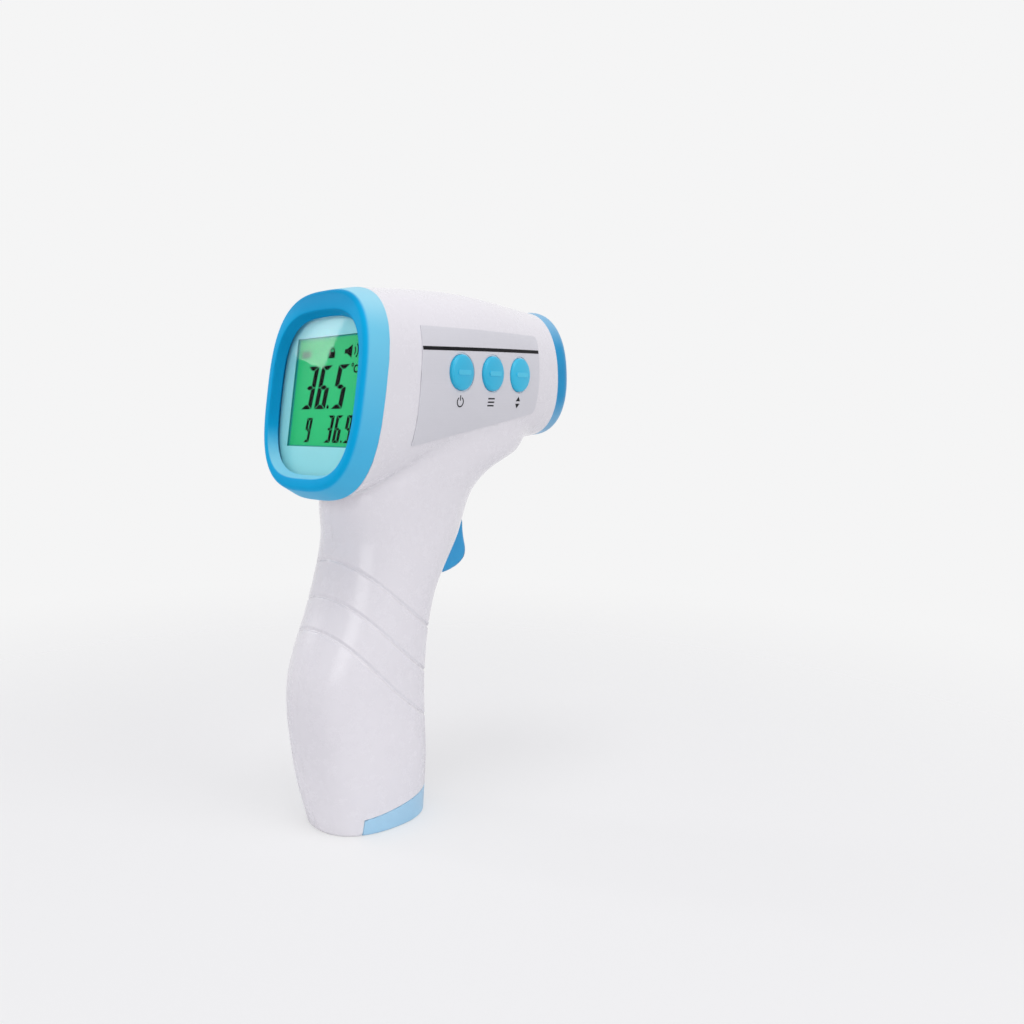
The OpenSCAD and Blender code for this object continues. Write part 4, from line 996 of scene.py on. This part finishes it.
# Digits of the upper row, of the lower row and of the lone figure before it, and where the rows stand
BIG = dict(w=4.8, h=11.4, bar=1.12, post=1.75)
SMALL = dict(w=2.8, h=7.1, bar=0.74, post=1.12)
LONE = dict(w=2.5, h=6.5, bar=0.72, post=1.0)
BIG_LOW, SMALL_LOW = -4.0, -12.8
ink = bmesh.new()
faint = bmesh.new()
for left, figure in ((-10.1, "3"), (-4.0, "6"), (3.2, "5")):
    digit(ink, figure, left, BIG_LOW, **BIG)
for left, figure in ((1.7, "3"), (5.4, "6"), (9.8, "9")):
    digit(ink, figure, left, SMALL_LOW, **SMALL)
digit(ink, "9", -7.4, SMALL_LOW, **LONE)
# Decimal points
film(ink, disc(1.95, -3.5, 0.5))
film(ink, disc(9.25, -12.45, 0.34))
# Degree sign and scale
arc(ink, 10.6, 7.15, 0.36, 0.28, 0, 360, 20)
arc(ink, 12.2, 6.1, 0.85, 0.42, 50, 310, 18)
# Padlock
film(ink, [(-0.05, 9.3), (2.6, 9.3), (2.6, 10.95), (-0.05, 10.95)])
arc(ink, 1.3, 10.95, 0.9, 0.42, 0, 180)
# Loudspeaker
film(ink, [(6.7, 10.15), (7.7, 10.15), (9.7, 9.0), (9.7, 12.4), (7.7, 11.3), (6.7, 11.3)])
arc(ink, 9.8, 10.72, 1.3, 0.36, -45, 45)
arc(ink, 9.8, 10.72, 2.4, 0.36, -45, 45)
# Battery sign, unlit
film(faint, [(-12.2, 9.8), (-8.5, 9.8), (-8.5, 11.6), (-12.2, 11.6)])
film(faint, [(-8.4, 10.3), (-8.0, 10.3), (-8.0, 11.1), (-8.4, 11.1)])
for bm in (ink, faint):
    bmesh.ops.recalc_face_normals(bm, faces=bm.faces[:])
new_piece("display_figures", mesh_from(ink, "display_figures"), "body", "black_plastic", INK)
new_piece("battery_sign", mesh_from(faint, "battery_sign"), "body", "lcd_glass", FAINT)


# Print on the label: a rule and three plain signs, laid on the flank

PRINT_T = 0.03
PRINT_LIFT = 0.01
FLANK_Y = -21.0


def on_flank(places):
    """Points of the label's face at given places along and up the right flank, in mm."""
    p = np.array([(x, FLANK_Y, z) for x, z in places])
    for _ in range(8):
        normal, rate = skin_slope(p)
        p[:, 1] -= (skin_gap(p) - LABEL_T - PRINT_LIFT) / (rate * normal[:, 1])
    return p


def printed(bm):
    """Lays a flat drawing in X and Z on the label and gives it the thickness of ink."""
    places = on_flank([(v.co.x, v.co.z) for v in bm.verts])
    for v, place in zip(bm.verts, places):
        v.co = Vector(place) * MM
    bm.normal_update()
    for f in bm.faces:
        if f.normal.y > 0:
            f.normal_flip()
    bmesh.ops.translate(bm, verts=extruded(bm, bm.faces[:]), vec=Vector((0, -PRINT_T * MM, 0)))
    bmesh.ops.recalc_face_normals(bm, faces=bm.faces[:])


def strip(bm, start, end, width, cuts):
    """Adds a flat bar between two places in X and Z."""
    along = Vector((end[0] - start[0], 0, end[1] - start[1]))
    across = Vector((-along.z, 0, along.x)).normalized() * width / 2
    a, b = Vector((start[0], 0, start[1])), Vector((end[0], 0, end[1]))
    face = bm.faces.new([bm.verts.new(c) for c in (a - across, b - across, b + across, a + across)])
    bmesh.ops.subdivide_edges(bm, edges=[face.edges[0], face.edges[2]], cuts=cuts, use_grid_fill=True)


def hoop(bm, x, z, r, width, start, end, count=28):
    """Adds part of a flat ring."""
    rows = []
    for k in range(count + 1):
        a = math.radians(start + (end - start) * k / count)
        rows.append([bm.verts.new((x + rad * math.cos(a), 0, z + rad * math.sin(a)))
                     for rad in (r - width / 2, r + width / 2)])
    for low, high in zip(rows, rows[1:]):
        bm.faces.new((low[0], low[1], high[1], high[0]))


# Ends and width of the rule, places of the signs, and sizes of their strokes, in mm
RULE = ((2.2, 130.8), (53.9, 131.9))
RULE_W = 0.95
SIGN_Z = 117.3
SIGN_X = (16.4, 30.1, 43.6)
RING_R = 1.25
RING_W = 0.34
STEM_ENDS = (0.35, 1.75)
LIST_HALF = 1.5
LIST_PITCH = 0.95
LIST_W = 0.38
ARROW_HALF = 1.1
ARROW_H = 1.3
ARROW_GAP = 0.35
print_bm = bmesh.new()
strip(print_bm, *RULE, RULE_W, 40)
# Standby sign
hoop(print_bm, SIGN_X[0], SIGN_Z, RING_R, RING_W, 120, 420)
strip(print_bm, *((SIGN_X[0], SIGN_Z + end) for end in STEM_ENDS), RING_W, 2)
# Stored list
for row in (-1, 0, 1):
    z = SIGN_Z + row * LIST_PITCH
    strip(print_bm, (SIGN_X[1] - LIST_HALF, z), (SIGN_X[1] + LIST_HALF, z), LIST_W, 3)
# Change over
for way in (-1, 1):
    base = SIGN_Z + way * ARROW_GAP
    arrow = ((-ARROW_HALF, base), (ARROW_HALF, base), (0, base + way * ARROW_H))
    print_bm.faces.new([print_bm.verts.new((SIGN_X[2] + x, 0, z)) for x, z in arrow])
printed(print_bm)
new_piece("label_print", mesh_from(print_bm, "label_print"), "body", "black_plastic", PRINT)


# Buttons: turned caps, each with a raised bar, in mm

CROWN_R = 0.94 * BUTTON_R
CROWN_T = 0.45
FLANGE_R = BUTTON_R + 0.8
FLANGE_T = 0.8
STEM_R = 2.0
STEM_LEN = 1.0
BAR_W = 5.4
BAR_H = 1.3
BAR_T = 0.1
BAR_ROOT = 0.6
BAR_ROUND = 0.45 * BAR_H


def turned(profile, steps=72):
    """A bmesh turned about the Y axis from a profile of radius and depth in mm."""
    bm = bmesh.new()
    verts = [bm.verts.new((r * MM, y * MM, 0)) for r, y in profile]
    edges = [bm.edges.new(pair) for pair in zip(verts, verts[1:])]
    bmesh.ops.spin(
        bm, geom=verts + edges, cent=(0, 0, 0), axis=(0, 1, 0), angle=2 * math.pi, steps=steps,
        use_merge=True)
    merged(bm)
    bmesh.ops.recalc_face_normals(bm, faces=bm.faces[:])
    return bm


def row_depths(node):
    """Outermost and innermost place of a packed button along its stroke, in mm."""
    depths = [(AT_KEYS.inverted() @ (v.co / MM)).y for v in nodes[node].data.vertices]
    return min(depths), max(depths)


def set_in_row(bm, k, depth=0):
    """Moves a bmesh from the origin to place k of the button row, at a depth in mm."""
    shift = Matrix.Translation((k * ROW_PITCH, depth, 0))
    bm.transform(Matrix.Scale(MM, 4) @ AT_KEYS @ shift @ Matrix.Scale(1 / MM, 4))


def button_mesh(node, k):
    """A domed cap in the place of a packed button."""
    top, stem = row_depths(node)
    top += BAR_T
    flange = stem - STEM_LEN
    turn = [math.radians(a) for a in range(0, 91, 10)]
    profile = [(CROWN_R * math.sin(a), top + CROWN_T * (1 - math.cos(a))) for a in turn]
    profile += [
        (BUTTON_R - 0.14, top + 0.53), (BUTTON_R - 0.03, top + 0.66), (BUTTON_R, top + 0.85),
        (BUTTON_R, flange - FLANGE_T), (FLANGE_R, flange - FLANGE_T), (FLANGE_R, flange),
        (STEM_R, flange), (STEM_R, stem), (0.0, stem)]
    bm = turned(profile)
    set_in_row(bm, k)
    return mesh_from(bm, node + "_cap", 40)


def bar_mesh(node, k):
    """A raised bar across a cap."""
    top = row_depths(node)[0]
    bm = bmesh.new()
    bmesh.ops.create_cube(bm, size=MM)
    bmesh.ops.scale(bm, vec=(BAR_W, BAR_T + BAR_ROOT, BAR_H), verts=bm.verts[:])
    ends = [e for e in bm.edges if abs(e.verts[0].co.y - e.verts[1].co.y) > BAR_T * MM]
    bmesh.ops.bevel(
        bm, geom=ends, offset=BAR_ROUND * MM, offset_type="OFFSET", segments=6, profile=0.5,
        affect="EDGES", clamp_overlap=False, material=-1)
    set_in_row(bm, k, top + (BAR_T + BAR_ROOT) / 2)
    return mesh_from(bm, node + "_bar", 40)


for k, node in ((-1, "rear_button"), (0, "middle_button"), (1, "front_button")):
    new_piece(node + "_cap", button_mesh(node, k), node, "blue_plastic", BUTTON_BLUE, node)
    new_piece(node + "_bar", bar_mesh(node, k), node, "blue_plastic", BAR_BLUE)


# Camera at the photograph's place in mm; the focal length and the middle of the view are in its pixels

CAMERA = Vector((-161.57, -200.05, 113.90))
AIM = Vector((5.6, 0.0, 75.0))
ROLL = math.radians(-0.461)
PHOTO_SIDE = 1024
FOCAL = 934.87
CENTRE = (379.15, 555.09)
ahead = (AIM - CAMERA).normalized()
right = ahead.cross(Vector((0, 0, 1))).normalized()
up = right.cross(ahead)
level_right = right * math.cos(ROLL) + up * math.sin(ROLL)
level_up = up * math.cos(ROLL) - right * math.sin(ROLL)
lens = bpy.data.cameras.new("camera")
lens.sensor_width = 36.0
lens.lens = lens.sensor_width * FOCAL / PHOTO_SIDE
lens.shift_x = 0.5 - CENTRE[0] / PHOTO_SIDE
lens.shift_y = CENTRE[1] / PHOTO_SIDE - 0.5
lens.clip_start = 0.01
camera = bpy.data.objects.new("camera", lens)
turn = Matrix((level_right, level_up, -ahead)).transposed().to_4x4()
camera.matrix_world = Matrix.Translation(CAMERA * MM) @ turn
scene.collection.objects.link(camera)
scene.camera = camera


# Lamps, floor and room, in metres

def lamp(name, place, aim, size, power, roll=0):
    """A soft square lamp that looks at a point, turned about its own axis by roll degrees."""
    data = bpy.data.lights.new(name, "AREA")
    data.size = size
    data.energy = power
    obj = bpy.data.objects.new(name, data)
    look = (Vector(aim) - Vector(place)).to_track_quat("-Z", "Y").to_matrix().to_4x4()
    obj.matrix_world = Matrix.Translation(Vector(place)) @ look @ Matrix.Rotation(math.radians(roll), 4, "Z")
    scene.collection.objects.link(obj)


lamp("top_lamp", (-0.15, -0.10, 0.95), (0.01, 0, 0.10), 0.35, 2.1)
lamp("right_lamp", (0.30, -0.90, 0.66), (0.01, 0, 0.09), 0.7, 2.75)
lamp("fill_lamp", (-0.75, -0.55, 0.40), (0.01, 0, 0.09), 0.5, 1.4)
# Stands where the display mirrors it in its upper left half
lamp("rear_lamp", (-0.507, 0.836, 0.4535), (-0.015, 0, 0.118), 0.16, 0.95, -8.5)

BACKGROUND = (0.912, 0.912, 0.914)
PAPER = (0.88, 0.885, 0.89)
ROOM_LIGHT = (0.955, 0.930, 1.0)
ROOM_STRENGTH = 0.51
FLOOR_R = 1.2
FLOOR_FADE = (0.08, 0.40)
floor_bm = bmesh.new()
bmesh.ops.create_circle(floor_bm, cap_ends=True, segments=96, radius=FLOOR_R)
floor = bpy.data.objects.new("floor", mesh_from(floor_bm, "floor"))
scene.collection.objects.link(floor)
f = Finish("pale_floor")
x, y, _ = f.axes()
fade = f.ramp((x * x + y * y) ** 0.5, *FLOOR_FADE)
paper = f.add("ShaderNodeBsdfPrincipled", None, {"Base Color": rgba(PAPER), "Roughness": 0.7})["BSDF"]
plain = f.add("ShaderNodeEmission", None, {"Color": rgba(BACKGROUND), "Strength": 1.0})["Emission"]
seen = f.add("ShaderNodeLightPath")["Is Camera Ray"]
paper = f.add("ShaderNodeMixShader", None, {0: seen * 0.55, 1: paper, 2: plain})["Shader"]
clear = f.add("ShaderNodeBsdfTransparent")["BSDF"]
f.show(f.add("ShaderNodeMixShader", None, {0: fade, 1: paper, 2: clear})["Shader"])
floor.data.materials.append(f.material)

room = Finish("room", bpy.data.worlds)
rays = room.add("ShaderNodeLightPath")
seen = rays["Is Camera Ray"].either(rays["Is Glossy Ray"].either(rays["Is Transmission Ray"]))
shown = room.add("ShaderNodeBackground", None, {"Color": rgba(BACKGROUND)})["Background"]
light = room.add("ShaderNodeBackground", None, {
    "Color": rgba(ROOM_LIGHT), "Strength": ROOM_STRENGTH})["Background"]
both = room.add("ShaderNodeMixShader", None, {0: seen, 1: light, 2: shown})["Shader"]
room.show(both, "ShaderNodeOutputWorld")
scene.world = room.material
scene.view_settings.view_transform = "Standard"
